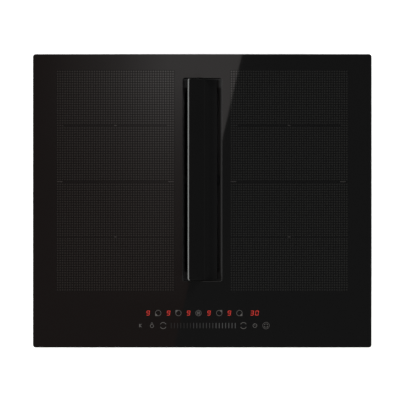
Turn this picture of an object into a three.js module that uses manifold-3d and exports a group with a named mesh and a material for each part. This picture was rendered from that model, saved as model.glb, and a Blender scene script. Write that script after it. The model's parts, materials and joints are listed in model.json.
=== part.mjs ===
// Downdraft induction cooktop with a swivelling glass flap over its central intake.
// Millimetres, +Z up, +Y to the rear. The origin is on the base, under the middle of the glass.

import * as THREE from 'three';
import { mergeVertices } from 'three/addons/utils/BufferGeometryUtils.js';
import Module from 'manifold-3d';

const wasm = await Module();
wasm.setup();

// ---------------------------------------------------------------- driving dimensions

// Glass top
const glassWidth = 600;
const glassDepth = 520;
const glassThickness = 4;
const glassCorner = 5;
const glassBevel = 0.8;
const cutoutWidth = 70;
const cutoutFrontMargin = 117.6;
const cutoutRearMargin = 42.4;
const cutoutCorner = 4;

// How the cooktop sits in a worktop
const installDepth = 206;
const glassOverlapX = 20;
const glassOverlapY = 15;
const sealInset = 3;
const sealThickness = 2.5;
const sealSideGap = 2;

// Gap between pieces that rest on each other
const seatGap = 0.3;

// Flap, its carrier and the half-round trunnions under its ends
const flapThickness = 5;
const flapSideGap = 0.9;
const flapEndGap = 2.2;
const flapCorner = 3.5;
const flapBevel = 0.6;
const flapTilt = 43;
const flapRunGap = 1.2;
const carrierWidth = 40;
const carrierSheet = 1.5;
const carrierRibWidth = 6;
const carrierRibDepth = 8;
const carrierEndGap = 0.5;
const trunnionRadius = 14;
const trunnionLength = 9;
const saddleLength = 10;
const saddleHalfAngle = 33;
const bearingSides = 48;

// Collar bonded under the glass, and the insert that drops into it
const collarSetback = 0.4;
const collarWall = 2;
const collarFlange = 9;
const collarFlangeThickness = 2;
const ledgeWidth = 2.4;
const ledgeThickness = 2.3;
const insertClearance = 0.5;
const insertThickness = 2.5;
const insertSideRim = 3;
const insertEndRim = 14;
const insertHoleCorner = 17;
const insertLipHeight = 5;
const insertLipThickness = 1.2;

// Intake shaft
const shaftWall = 2.5;
const shaftCorner = 4;
const shaftStepDepth = 10;
const shaftStepWidth = 2.5;
const shaftFlange = 8;
const shaftFlangeThickness = 2;
const shaftReach = 10;
const shaftHoleClearance = 2;

// Grease filter unit
const filterClearance = 0.5;
const filterFlangeThickness = 2;
const filterHeight = 44;
const filterWall = 1.5;
const filterWindowCount = 6;
const filterWindowBar = 8;
const filterWindowRail = 6;
const filterMeshThickness = 4;
const dripTrayDepth = 13;
const handleWidth = 14;
const handleThickness = 2;
const handleRise = 8.5;

// Hob tray of folded sheet steel
const trayClearance = 2;
const trayDepth = 55;
const traySheet = 1;
const trayCorner = 8;
const trayTopFlange = 8;
const pillarRadius = 3;
const pillarHeight = 6;
const sideVentCount = 10;
const sideVentPitch = 19;
const sideVentWidth = 5;
const sideVentHeight = 22;
const sideVentLift = 14;

// Cooking zones and what heats them
const fieldInnerMargin = 13.6;
const fieldSideMargin = 41.4;
const fieldFrontMargin = 98.1;
const fieldRearMargin = 28.7;
const zoneMargin = 8;
const coilHoleWidth = 58;
const coilHoleDepth = 50;
const coilThickness = 4.5;
const coilCorner = 58;
const coilHoleCorner = 22;
const coilGrooveWidth = 3;
const coilGrooveDepth = 2.5;
const formerThickness = 3;
const formerRim = 3;
const ferriteCount = 6;
const ferriteWidth = 12;
const ferriteHeight = 3;
const sensorRadius = 8;
const sensorHoleGap = 2;
const insulationThickness = 1.6;
const plateSheet = 1.5;
const plateMargin = 6;
const plateLegWidth = 20;
const plateFootLength = 10;

// Power electronics
const boardThickness = 1.6;
const powerBoardMargin = 10;
const powerBoardDepth = 150;
const powerBoardShift = 6.4;
const powerBoardY = -40;
const heatSinkClearance = 8;
const heatSinkLength = 138;
const heatSinkHeight = 24;
const heatSinkBase = 4;
const heatSinkFinCount = 9;
const heatSinkFin = 1.6;
const capacitorWidth = 44;
const capacitorDepth = 32;
const capacitorHeight = 20;
const inductorRadius = 17;
const inductorHeight = 18;

// Cooling fans under the control board
const coolingFanX = 131;
const coolingFanInset = 47;
const coolingFanSize = 80;
const coolingFanHeight = 20;
const coolingFanCorner = 5;
const coolingFanBore = 37;
const coolingFanHub = 15;
const coolingFanSpoke = 5;
const coolingFanSpokeHeight = 3;
const coolingFanBladeCount = 7;
const coolingFanBladeThickness = 2;
const coolingFanBladePitch = 38;
const coolingFanBladeRoot = 3;
const coolingFanRunGap = 1.5;
const fanVentCount = 8;
const fanVentWidth = 5;
const fanVentLength = 16;

// Mains side
const mainsBoardWidth = 118;
const mainsBoardDepth = 84;
const mainsBoardInsetX = 146;
const mainsBoardInset = 71;
const driverBoardWidth = 110;
const driverBoardDepth = 70;
const driverBoardInsetX = 118;
const driverBoardInset = 67;
const terminalBoxWidth = 52;
const terminalBoxDepth = 44;
const terminalBoxHeight = 28;
const terminalBoxWall = 2;
const terminalBoxSetback = 8;
const glandInset = 55;
const glandStemRadius = 9;
const glandBore = 5.5;
const glandNutRadius = 13;
const glandNutLength = 10;
const glandInnerLength = 6;
const glandHeight = 22;

// Touch controls
const controlX = 0;
const controlInset = 35;
const controlBoardWidth = 300;
const controlBoardDepth = 56;
const carrierTrayHeight = 9;
const carrierTrayWall = 1.6;
const carrierTrayRim = 3;
const carrierTrayCorner = 4;
const controlBoardCorner = 3;
const carrierLegX = 72;
const carrierLegSize = 8;
const displayHeight = 4;
const displayStripX = -1.7;
const displayRise = 8.3;
const displayStripWidth = 212;
const displayStripDepth = 14;
const displayPocketDepth = 1.2;
const displayWindowDepth = 10.5;
const displaySpacing = 36;
const displayCount = 6;
const displayWindowWidth = 12;
const sliderX = 1.7;
const sliderDrop = 13.2;
const sliderWidth = 120;
const sliderDepth = 12;
const sliderCount = 21;
const sliderPitch = 5.67;
const sliderBarWidth = 2.2;

// Lower housing of the extractor
const housingLeft = -120;
const housingRightInset = 22;
const housingFrontInset = 93;
const housingBackInset = 7;
const housingWall = 2.5;
const housingCorner = 22;
const housingDraft = 4;
const housingRim = 8;
const housingRibSpacing = 82;
const housingRibThickness = 2;
const footHeight = 2.5;
const footRadius = 14;
const footInset = 30;
const drainX = -84;
const drainY = -60;
const drainRadius = 9;
const drainHeadRadius = 13;
const drainHeadThickness = 1.8;
const drainStemReach = 4;

// Extractor fan
const scrollSideGap = 9.5;
const scrollFrontGap = 2.5;
const scrollWall = 2.5;
const scrollHeight = 88;
const scrollStartRadius = 84;
const scrollEndRadius = 116;
const scrollStartAngle = 58;
const scrollExitReach = 92;
const scrollPostHeight = 8;
const scrollPostRadius = 8;
const impellerRadius = 75;
const impellerInnerRadius = 59;
const impellerWidth = 64;
const impellerBladeCount = 24;
const impellerBladeThickness = 1.6;
const impellerBladeTipGap = 0.5;
const impellerPlate = 2.5;
const impellerDomeChamfer = 8;
const impellerSkirtSpread = 4;
const impellerRimOverhang = 1;
const impellerRingHeight = 3;
const impellerFloorGap = 4;
const motorRadius = 40;
const motorHeight = 34;
const motorChamfer = 3;
const motorFlangeRadius = 49;
const motorFlangeThickness = 3;
const shaftRadius = 4;
const motorShaftReach = 22;
const motorShaftTip = 2;
const hubRadius = 10;
const hubHeight = 12;
const domeGap = 3;
const inletRadius = 62;
const inletFlare = 14;
const inletFlangeWidth = 12;
const inletDip = 10;
const inletRunGap = 2;

// Outlet to a flat duct
const outletWidth = 222;
const outletHeight = 89;
const outletWall = 2.5;
const outletInset = 134;
const outletCentreZ = 66;
const outletCorner = 9;
const outletFlange = 12;
const outletReach = 21;
const outletHoleClearance = 1;

// Clamps that pull the cooktop down on the worktop
const clampY = 150;
const clampWidth = 22;
const clampSheet = 2;
const clampFootLength = 16;
const clampFootZ = 156;
const clampHeight = 34;
const clampScrewRadius = 3;
const clampScrewLength = 26;
const clampScrewRise = 5;

// ---------------------------------------------------------------- derived levels and places

const glassBottom = installDepth;
const glassTop = glassBottom + glassThickness;
const underGlass = glassBottom - seatGap;

const cutoutLength = glassDepth - cutoutFrontMargin - cutoutRearMargin;
const cutoutCentreY = (cutoutFrontMargin - cutoutRearMargin) / 2;

const flapWidth = cutoutWidth - 2 * flapSideGap;
const flapLength = cutoutLength - 2 * flapEndGap;
const flapAxisZ = glassTop - flapThickness / 2;
const tilt = THREE.MathUtils.degToRad(flapTilt);
const flapDrop = (flapWidth / 2) * Math.sin(tilt) + (flapThickness / 2) * Math.cos(tilt);
const underFlap = -(flapThickness / 2 + seatGap);

const insertWidth = cutoutWidth - 2 * insertClearance;
const insertLength = cutoutLength - 2 * insertClearance;
const insertTop = flapAxisZ - flapDrop - flapRunGap;
const insertBottom = insertTop - insertThickness;
const saddleY = insertLength / 2 - insertEndRim / 2;

const ledgeTop = insertBottom - seatGap;
const ledgeBottom = ledgeTop - ledgeThickness;
const collarInnerWidth = cutoutWidth + 2 * collarSetback;
const collarInnerLength = cutoutLength + 2 * collarSetback;

const shaftInnerWidth = collarInnerWidth - 2 * ledgeWidth;
const shaftInnerLength = collarInnerLength - 2 * ledgeWidth;
const shaftTop = ledgeBottom - seatGap;
const stepZ = shaftTop - shaftStepDepth;
const shaftLowWidth = shaftInnerWidth - 2 * shaftStepWidth;
const shaftLowLength = shaftInnerLength - 2 * shaftStepWidth;

const filterFlangeTop = stepZ + seatGap + filterFlangeThickness;
const filterBottom = filterFlangeTop - filterHeight;
const filterWidth = shaftLowWidth - 2 * filterClearance;
const filterLength = shaftLowLength - 2 * filterClearance;

const worktopOpeningWidth = glassWidth - 2 * glassOverlapX;
const worktopOpeningDepth = glassDepth - 2 * glassOverlapY;
const trayWidth = worktopOpeningWidth - 2 * trayClearance;
const trayLength = worktopOpeningDepth - 2 * trayClearance;
const trayTop = underGlass;
const trayBottom = trayTop - trayDepth;
const trayFloor = trayBottom + traySheet;
const shaftBottom = trayBottom - shaftReach;
const boardBottom = trayFloor + pillarHeight + seatGap;
const boardTop = boardBottom + boardThickness;

const zoneWidth = (glassWidth - cutoutWidth) / 2 - fieldInnerMargin - fieldSideMargin;
const zoneDepth = (glassDepth - fieldFrontMargin - fieldRearMargin) / 2;
const zoneCentreX = cutoutWidth / 2 + fieldInnerMargin + zoneWidth / 2;
const fieldCentreY = (fieldFrontMargin - fieldRearMargin) / 2;
const powerBoardWidth = zoneWidth - 2 * powerBoardMargin;
const powerBoardX = zoneCentreX + powerBoardShift;
const heatSinkWidth = powerBoardWidth - 2 * (capacitorWidth + 4 * pillarRadius + heatSinkClearance);

const coolingFanY = coolingFanInset - trayLength / 2;
const mainsBoardX = mainsBoardInsetX - trayWidth / 2;
const mainsBoardY = trayLength / 2 - mainsBoardInset;
const driverBoardX = trayWidth / 2 - driverBoardInsetX;
const driverBoardY = trayLength / 2 - driverBoardInset;
const glandX = glandInset - trayWidth / 2;
const controlY = controlInset - trayLength / 2;
const displayStripY = controlY + displayRise;
const sliderY = controlY - sliderDrop;

const insulationBottom = underGlass - insulationThickness;
const coilTop = insulationBottom - seatGap;
const formerTop = coilTop - coilThickness - seatGap;
const ferriteBottom = formerTop - formerThickness - ferriteHeight;
const plateTop = ferriteBottom - seatGap;

const controlBoardTop = underGlass - displayHeight - seatGap;
const controlBoardBottom = controlBoardTop - boardThickness;
const carrierTrayTop = controlBoardBottom - seatGap;

const housingRight = trayWidth / 2 - housingRightInset;
const housingFront = housingFrontInset - trayLength / 2;
const housingBack = trayLength / 2 - housingBackInset;
const fanX = housingRight - scrollSideGap - scrollWall - scrollEndRadius;
const fanY = housingFront + scrollFrontGap + scrollWall + scrollEndRadius;
const outletX = housingRight - outletInset;

const housingTop = trayBottom - seatGap;
const housingFloor = footHeight + housingWall;
const scrollBottom = housingFloor + scrollPostHeight + seatGap;
const scrollFloor = scrollBottom + scrollWall;
const scrollTop = scrollBottom + scrollHeight;
const scrollExitY = fanY + scrollExitReach;
const motorBottom = scrollFloor + seatGap;
const motorTop = motorBottom + motorFlangeThickness + motorHeight;
const impellerBottom = scrollFloor + impellerFloorGap;
const impellerTop = impellerBottom + impellerWidth;

// ---------------------------------------------------------------- shape helpers

const mergeTolerance = 1e-4;

// Closed solid from a geometry: only positions count, and collapsed triangles at poles are dropped.
function toSolid(geometry) {
  const source = geometry.index ? geometry.toNonIndexed() : geometry;
  const bare = new THREE.BufferGeometry();
  bare.setAttribute('position', source.getAttribute('position').clone());
  const merged = mergeVertices(bare, mergeTolerance);
  const index = merged.index.array;
  const triangles = [];
  for (let i = 0; i < index.length; i += 3) {
    const [a, b, c] = [index[i], index[i + 1], index[i + 2]];
    if (a !== b && b !== c && c !== a) {
      triangles.push(a, b, c);
    }
  }
  const mesh = new wasm.Mesh({
    numProp: 3,
    vertProperties: new Float32Array(merged.getAttribute('position').array),
    triVerts: new Uint32Array(triangles),
  });
  return new wasm.Manifold(mesh);
}

function toGeometry(solid) {
  const mesh = solid.getMesh();
  const geometry = new THREE.BufferGeometry();
  geometry.setAttribute('position', new THREE.BufferAttribute(new Float32Array(mesh.vertProperties), 3));
  geometry.setIndex(new THREE.BufferAttribute(new Uint32Array(mesh.triVerts), 1));
  geometry.computeVertexNormals();
  return geometry;
}

function join(...pieces) {
  const solids = pieces.map(toSolid);
  return toGeometry(solids.reduce((whole, piece) => whole.add(piece)));
}

function cut(base, ...tools) {
  const tool = tools.map(toSolid).reduce((whole, piece) => whole.add(piece));
  return toGeometry(toSolid(base).subtract(tool));
}

function common(first, second) {
  return toGeometry(toSolid(first).intersect(toSolid(second)));
}

function roundedRect(width, depth, radius, x = 0, y = 0) {
  const r = Math.min(radius, 0.49 * width, 0.49 * depth);
  const [left, right] = [x - width / 2, x + width / 2];
  const [front, back] = [y - depth / 2, y + depth / 2];
  const shape = new THREE.Shape();
  shape.moveTo(left + r, front);
  shape.lineTo(right - r, front);
  shape.absarc(right - r, front + r, r, -Math.PI / 2, 0);
  shape.lineTo(right, back - r);
  shape.absarc(right - r, back - r, r, 0, Math.PI / 2);
  shape.lineTo(left + r, back);
  shape.absarc(left + r, back - r, r, Math.PI / 2, Math.PI);
  shape.lineTo(left, front + r);
  shape.absarc(left + r, front + r, r, Math.PI, 1.5 * Math.PI);
  return shape;
}

// Flat piece of a 2D outline, from one height to another.
function slab(shape, bottom, top, arcSteps = 1) {
  const options = { depth: top - bottom, bevelEnabled: false, curveSegments: arcSteps };
  return new THREE.ExtrudeGeometry(shape, options).translate(0, 0, bottom);
}

// The same with an edge chamfer inside the outline, at top and bottom.
function chamferedSlab(shape, bottom, top, chamfer, arcSteps = 2) {
  const options = {
    depth: top - bottom - 2 * chamfer,
    bevelEnabled: true,
    bevelThickness: chamfer,
    bevelSize: chamfer,
    bevelOffset: -chamfer,
    bevelSegments: 1,
    curveSegments: arcSteps,
  };
  return new THREE.ExtrudeGeometry(shape, options).translate(0, 0, bottom + chamfer);
}

function box(width, depth, bottom, top, x = 0, y = 0) {
  return new THREE.BoxGeometry(width, depth, top - bottom).translate(x, y, (bottom + top) / 2);
}

function cylinder(radius, bottom, top, x = 0, y = 0, sides = 24) {
  const geometry = new THREE.CylinderGeometry(radius, radius, top - bottom, sides).rotateX(Math.PI / 2);
  return geometry.translate(x, y, (bottom + top) / 2);
}

// Solid of revolution about Z. The profile's points are [radius, height], counter-clockwise.
function revolve(profile, sides = 32) {
  const points = [...profile, profile[0]].map(([r, z]) => new THREE.Vector2(r, z));
  return new THREE.LatheGeometry(points, sides).rotateX(Math.PI / 2);
}

// Solid through closed outlines of equal point counts, listed from bottom to top, with flat ends.
function loft(outlines) {
  const count = outlines[0].length;
  const positions = outlines.flat().flatMap((point) => [point.x, point.y, point.z]);
  const index = [];
  for (let row = 0; row < outlines.length - 1; row += 1) {
    for (let i = 0; i < count; i += 1) {
      const [a, b] = [row * count + i, row * count + ((i + 1) % count)];
      index.push(a, b, b + count, a, b + count, a + count);
    }
  }
  const last = (outlines.length - 1) * count;
  for (let i = 1; i < count - 1; i += 1) {
    index.push(0, i + 1, i);
    index.push(last, last + i, last + i + 1);
  }
  const geometry = new THREE.BufferGeometry();
  geometry.setAttribute('position', new THREE.Float32BufferAttribute(positions, 3));
  geometry.setIndex(index);
  return geometry;
}

// Outline's corner points at one height, each taken once also where an arc starts on a line's end.
function outlineAt(shape, z, arcSteps = 2) {
  const points = shape.extractPoints(arcSteps).shape;
  const distinct = points.filter((point, i) =>
    point.distanceTo(points[(i + 1) % points.length]) > mergeTolerance);
  return distinct.map((point) => new THREE.Vector3(point.x, point.y, z));
}

function metal(color, roughness) {
  return new THREE.MeshStandardMaterial({ color, roughness, metalness: 0.9, flatShading: true });
}

function plain(color, roughness) {
  return new THREE.MeshStandardMaterial({ color, roughness, metalness: 0, flatShading: true });
}

// ---------------------------------------------------------------- materials

const blackGlass = plain(0x141314, 0.08);
const blackPlastic = plain(0x1b1b1c, 0.55);
const greyPlastic = plain(0x4a4c4e, 0.6);
const foam = plain(0x242424, 0.95);
const galvanisedSteel = metal(0xa9adb0, 0.45);
const blackSteel = metal(0x202022, 0.5);
const aluminium = metal(0xb9bcc0, 0.4);
const stainless = metal(0xc4c6c8, 0.3);
const copper = metal(0xb36a3c, 0.4);
const ferrite = plain(0x3a3b3e, 0.8);
const mica = plain(0xc9c0a8, 0.85);
const circuitBoard = plain(0x1f5a37, 0.6);
const rubber = plain(0x161616, 0.9);
const displayPlastic = plain(0x2a0c0c, 0.4);

// ---------------------------------------------------------------- assembly

const cooktop = new THREE.Group();
cooktop.name = 'downdraft_induction_cooktop';

function addPart(name, geometry, material, parent = cooktop) {
  const mesh = new THREE.Mesh(geometry, material);
  mesh.name = name;
  parent.add(mesh);
  return mesh;
}

// ---------------------------------------------------------------- glass and seal

function glassPlate() {
  const outline = roundedRect(glassWidth, glassDepth, glassCorner);
  outline.holes.push(roundedRect(cutoutWidth, cutoutLength, cutoutCorner, 0, cutoutCentreY));
  return chamferedSlab(outline, glassBottom, glassTop, glassBevel);
}

function worktopSeal() {
  const outline = roundedRect(glassWidth - 2 * sealInset, glassDepth - 2 * sealInset, glassCorner);
  const innerWidth = trayWidth + 2 * sealSideGap;
  const innerDepth = trayLength + 2 * sealSideGap;
  outline.holes.push(roundedRect(innerWidth, innerDepth, trayCorner));
  return slab(outline, underGlass - sealThickness, underGlass);
}

addPart('glass_top', glassPlate(), blackGlass);
addPart('worktop_seal', worktopSeal(), foam);

// ---------------------------------------------------------------- intake collar and insert

const intake = new THREE.Group();
intake.position.y = cutoutCentreY;
cooktop.add(intake);

function intakeCollar() {
  const wallWidth = collarInnerWidth + 2 * collarWall;
  const wallLength = collarInnerLength + 2 * collarWall;
  const outerCorner = cutoutCorner + collarWall;
  const flangeWidth = wallWidth + 2 * collarFlange;
  const flangeOutline = roundedRect(flangeWidth, wallLength + 2 * collarFlange, outerCorner);
  const flange = slab(flangeOutline, underGlass - collarFlangeThickness, underGlass);
  const wall = slab(roundedRect(wallWidth, wallLength, outerCorner), ledgeBottom, underGlass);
  const pocket = slab(roundedRect(collarInnerWidth, collarInnerLength, cutoutCorner), ledgeTop, glassTop);
  const opening = slab(roundedRect(shaftInnerWidth, shaftInnerLength, shaftCorner), 0, glassTop);
  return cut(join(flange, wall), pocket, opening);
}

// Pedestal with a half-round seat for one of the flap's trunnions.
function saddle(y) {
  const seatRadius = trunnionRadius + seatGap;
  const halfAngle = THREE.MathUtils.degToRad(saddleHalfAngle);
  const top = flapAxisZ - seatRadius * Math.cos(halfAngle);
  const root = insertBottom + insertThickness / 2;
  const block = box(2 * seatRadius * Math.sin(halfAngle), saddleLength, root, top, 0, y);
  const seat = new THREE.CylinderGeometry(seatRadius, seatRadius, 2 * saddleLength, bearingSides);
  return cut(block, seat.translate(0, y, flapAxisZ));
}

function flapInsert() {
  const outline = roundedRect(insertWidth, insertLength, cutoutCorner);
  const holeWidth = insertWidth - 2 * insertSideRim;
  const holeLength = insertLength - 2 * insertEndRim;
  outline.holes.push(roundedRect(holeWidth, holeLength, insertHoleCorner));
  const base = slab(outline, insertBottom, insertTop, 3);
  const lipX = insertWidth / 2 - insertLipThickness / 2;
  const lips = [-lipX, lipX].map((x) =>
    box(insertLipThickness, holeLength, insertBottom + insertThickness / 2, insertTop + insertLipHeight, x));
  return join(base, ...lips, saddle(-saddleY), saddle(saddleY));
}

addPart('intake_collar', intakeCollar(), blackSteel, intake);
addPart('flap_insert', flapInsert(), blackPlastic, intake);

// ---------------------------------------------------------------- swivelling flap

// The flap turns about the middle of its own thickness, on a line along the cooktop's depth.
const flap = new THREE.Group();
flap.position.z = flapAxisZ;
flap.rotation.y = tilt;
intake.add(flap);

function flapGlass() {
  const outline = roundedRect(flapWidth, flapLength, flapCorner);
  return chamferedSlab(outline, -flapThickness / 2, flapThickness / 2, flapBevel);
}

function flapCarrier() {
  const length = 2 * (saddleY - saddleLength / 2 - carrierEndGap);
  const plate = box(carrierWidth, length, underFlap - carrierSheet, underFlap);
  const rib = box(carrierRibWidth, length, underFlap - carrierRibDepth, underFlap);
  return join(plate, rib);
}

function trunnion() {
  const round = new THREE.CylinderGeometry(trunnionRadius, trunnionRadius, trunnionLength, bearingSides);
  const below = box(3 * trunnionRadius, 2 * trunnionLength, -2 * trunnionRadius, underFlap);
  return common(round, below);
}

addPart('flap_glass', flapGlass(), blackGlass, flap);
addPart('flap_carrier', flapCarrier(), aluminium, flap);
addPart('flap_trunnion_front', trunnion(), greyPlastic, flap).position.y = -saddleY;
addPart('flap_trunnion_rear', trunnion(), greyPlastic, flap).position.y = saddleY;

// ---------------------------------------------------------------- intake shaft

function intakeShaft() {
  const upperOuterWidth = shaftInnerWidth + 2 * shaftWall;
  const upperOutline = roundedRect(upperOuterWidth, shaftInnerLength + 2 * shaftWall, shaftCorner);
  const lowOuterWidth = shaftLowWidth + 2 * shaftWall;
  const lowOuterLength = shaftLowLength + 2 * shaftWall;
  const upper = slab(upperOutline, stepZ - shaftWall, shaftTop);
  const lower = slab(roundedRect(lowOuterWidth, lowOuterLength, shaftCorner), shaftBottom, shaftTop);
  const flangeWidth = lowOuterWidth + 2 * shaftFlange;
  const flangeOutline = roundedRect(flangeWidth, lowOuterLength + 2 * shaftFlange, shaftFlange);
  const flangeBottom = trayFloor + seatGap;
  const flange = slab(flangeOutline, flangeBottom, flangeBottom + shaftFlangeThickness);
  const upperBore = slab(roundedRect(shaftInnerWidth, shaftInnerLength, shaftCorner), stepZ, glassTop);
  const lowerBore = slab(roundedRect(shaftLowWidth, shaftLowLength, shaftCorner), 0, glassTop);
  return cut(join(upper, lower, flange), upperBore, lowerBore);
}

addPart('intake_shaft', intakeShaft(), blackPlastic, intake);

// ---------------------------------------------------------------- grease filter unit

// Clear stretch of the filter frame's long walls between its end posts.
const windowSpan = filterLength - 2 * filterWindowBar;
const windowLength = windowSpan / filterWindowCount - filterWindowBar;

function filterFrame() {
  const flangeWidth = shaftInnerWidth - 2 * filterClearance;
  const flangeLength = shaftInnerLength - 2 * filterClearance;
  const flangeBottom = filterFlangeTop - filterFlangeThickness;
  const flange = slab(roundedRect(flangeWidth, flangeLength, shaftCorner), flangeBottom, filterFlangeTop);
  const body = slab(roundedRect(filterWidth, filterLength, shaftCorner), filterBottom, filterFlangeTop);
  const innerWidth = filterWidth - 2 * filterWall;
  const inside = box(innerWidth, filterLength - 2 * filterWall, filterBottom - 1, glassTop);
  const windows = [];
  for (let i = 0; i < filterWindowCount; i += 1) {
    const y = (i - (filterWindowCount - 1) / 2) * (windowSpan / filterWindowCount);
    const bottom = filterBottom + filterWindowRail;
    const top = flangeBottom - filterWindowRail;
    windows.push(box(2 * filterWidth, windowLength, bottom, top, 0, y));
  }
  return cut(join(flange, body), inside, ...windows);
}

function filterMesh() {
  const bottom = filterBottom + seatGap;
  const top = filterFlangeTop - filterFlangeThickness;
  return box(filterMeshThickness, filterLength - 2 * filterWall - 2 * seatGap, bottom, top);
}

function dripTray() {
  const top = filterBottom - seatGap;
  const bottom = top - dripTrayDepth;
  const outer = slab(roundedRect(filterWidth, filterLength, shaftCorner), bottom, top);
  const innerOutline = roundedRect(filterWidth - 2 * filterWall, filterLength - 2 * filterWall, shaftCorner);
  return cut(outer, slab(innerOutline, bottom + filterWall, glassTop));
}

// Strap that arches over the filter, with its feet on the frame's flange.
function filterHandle() {
  const foot = shaftInnerWidth / 2 - filterClearance;
  const shape = new THREE.Shape();
  shape.moveTo(-foot, 0);
  shape.quadraticCurveTo(-foot, handleRise, -foot + 2 * handleRise, handleRise);
  shape.lineTo(foot - 2 * handleRise, handleRise);
  shape.quadraticCurveTo(foot, handleRise, foot, 0);
  shape.lineTo(foot - handleThickness, 0);
  const inner = handleRise - handleThickness;
  shape.quadraticCurveTo(foot - handleThickness, inner, foot - 2 * handleRise, inner);
  shape.lineTo(-foot + 2 * handleRise, inner);
  shape.quadraticCurveTo(-foot + handleThickness, inner, -foot + handleThickness, 0);
  shape.closePath();
  const options = { depth: handleWidth, bevelEnabled: false, curveSegments: 5 };
  const strap = new THREE.ExtrudeGeometry(shape, options);
  strap.translate(0, 0, -handleWidth / 2).rotateX(Math.PI / 2);
  return strap.translate(0, 0, filterFlangeTop + seatGap);
}

const meshX = filterWidth / 2 - filterWall - seatGap - filterMeshThickness / 2;
addPart('filter_frame', filterFrame(), blackSteel, intake);
addPart('filter_mesh_left', filterMesh(), aluminium, intake).position.x = -meshX;
addPart('filter_mesh_right', filterMesh(), aluminium, intake).position.x = meshX;
addPart('filter_handle', filterHandle(), blackSteel, intake);
addPart('drip_tray', dripTray(), blackPlastic, intake);

// ---------------------------------------------------------------- hob tray

// Board standoffs: a pair of rows near each board's corners.
function boardCorners(x, y, width, depth) {
  const [dx, dy] = [width / 2 - 2 * pillarRadius, depth / 2 - 2 * pillarRadius];
  return [[x - dx, y - dy], [x + dx, y - dy], [x - dx, y + dy], [x + dx, y + dy]];
}

const boardPlaces = [
  [-powerBoardX, powerBoardY, powerBoardWidth, powerBoardDepth],
  [powerBoardX, powerBoardY, powerBoardWidth, powerBoardDepth],
  [mainsBoardX, mainsBoardY, mainsBoardWidth, mainsBoardDepth],
  [driverBoardX, driverBoardY, driverBoardWidth, driverBoardDepth],
];

// Radial slots under one cooling fan.
function fanVents(x, y) {
  const slots = [];
  const middle = coolingFanHub + coolingFanRunGap + fanVentLength / 2;
  for (let i = 0; i < fanVentCount; i += 1) {
    const slot = box(fanVentLength, fanVentWidth, trayBottom - 1, trayFloor + 1, middle);
    slots.push(slot.rotateZ((2 * Math.PI * i) / fanVentCount).translate(x, y, 0));
  }
  return slots;
}

function sideVents() {
  const vents = [];
  for (let i = 0; i < sideVentCount; i += 1) {
    const y = powerBoardY + (i - (sideVentCount - 1) / 2) * sideVentPitch;
    const bottom = trayBottom + sideVentLift;
    vents.push(box(2 * trayWidth, sideVentWidth, bottom, bottom + sideVentHeight, 0, y));
  }
  return vents;
}

function hobTray() {
  const outer = slab(roundedRect(trayWidth, trayLength, trayCorner), trayBottom, trayTop, 2);
  const innerWidth = trayWidth - 2 * traySheet;
  const innerOutline = roundedRect(innerWidth, trayLength - 2 * traySheet, trayCorner - traySheet);
  const inner = slab(innerOutline, trayFloor, trayTop - traySheet, 2);
  const mouthWidth = trayWidth - 2 * trayTopFlange;
  const mouthOutline = roundedRect(mouthWidth, trayLength - 2 * trayTopFlange, trayCorner);
  const mouth = slab(mouthOutline, trayFloor, glassTop);
  const holeWidth = shaftLowWidth + 2 * (shaftWall + shaftHoleClearance);
  const holeLength = shaftLowLength + 2 * (shaftWall + shaftHoleClearance);
  const holeOutline = roundedRect(holeWidth, holeLength, shaftCorner, 0, cutoutCentreY);
  const shaftHole = slab(holeOutline, trayBottom - 1, trayFloor + 1);
  const glandFit = glandStemRadius + seatGap;
  const glandHole = new THREE.CylinderGeometry(glandFit, glandFit, 2 * glandNutLength, 16);
  glandHole.translate(glandX, trayLength / 2, trayFloor + glandHeight);
  const underFans = [-coolingFanX, coolingFanX].flatMap((x) => fanVents(x, coolingFanY));
  const shell = cut(outer, inner, mouth, shaftHole, glandHole, ...underFans, ...sideVents());
  const pillars = boardPlaces.flatMap((place) => boardCorners(...place))
    .map(([x, y]) => cylinder(pillarRadius, trayBottom + traySheet / 2, trayFloor + pillarHeight, x, y, 6));
  return join(shell, ...pillars);
}

addPart('hob_tray', hobTray(), galvanisedSteel);

// ---------------------------------------------------------------- induction coils

function coilWinding() {
  const [width, depth] = [zoneWidth - 2 * zoneMargin, zoneDepth - 2 * zoneMargin];
  const outline = roundedRect(width, depth, coilCorner);
  outline.holes.push(roundedRect(coilHoleWidth, coilHoleDepth, coilHoleCorner));
  const [grooveWidth, grooveDepth] = [(width + coilHoleWidth) / 2, (depth + coilHoleDepth) / 2];
  const grooveCorner = (coilCorner + coilHoleCorner) / 2;
  const groove = roundedRect(grooveWidth, grooveDepth, grooveCorner);
  const inset = 2 * coilGrooveWidth;
  groove.holes.push(roundedRect(grooveWidth - inset, grooveDepth - inset, grooveCorner - coilGrooveWidth));
  const winding = slab(outline, coilTop - coilThickness, coilTop, 2);
  return cut(winding, slab(groove, coilTop - coilGrooveDepth, coilTop + 1));
}

// Plastic former with its ferrite bars glued under it like the spokes of a wheel.
function coilFormer() {
  const width = zoneWidth - 2 * zoneMargin + 2 * formerRim;
  const depth = zoneDepth - 2 * zoneMargin + 2 * formerRim;
  const disc = slab(roundedRect(width, depth, coilCorner), formerTop - formerThickness, formerTop, 2);
  const barStart = sensorRadius + sensorHoleGap + formerRim;
  const barEnd = Math.min(width, depth) / 2 - formerRim;
  const bars = [];
  for (let i = 0; i < ferriteCount; i += 1) {
    const angle = (2 * Math.PI * (i + 0.5)) / ferriteCount;
    const bar = box(barEnd - barStart, ferriteWidth, ferriteBottom, formerTop - formerThickness / 2,
      (barEnd + barStart) / 2);
    bars.push(bar.rotateZ(angle));
  }
  const hole = cylinder(sensorRadius + sensorHoleGap, 0, glassTop, 0, 0, 16);
  return cut(join(disc, ...bars), hole);
}

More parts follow.
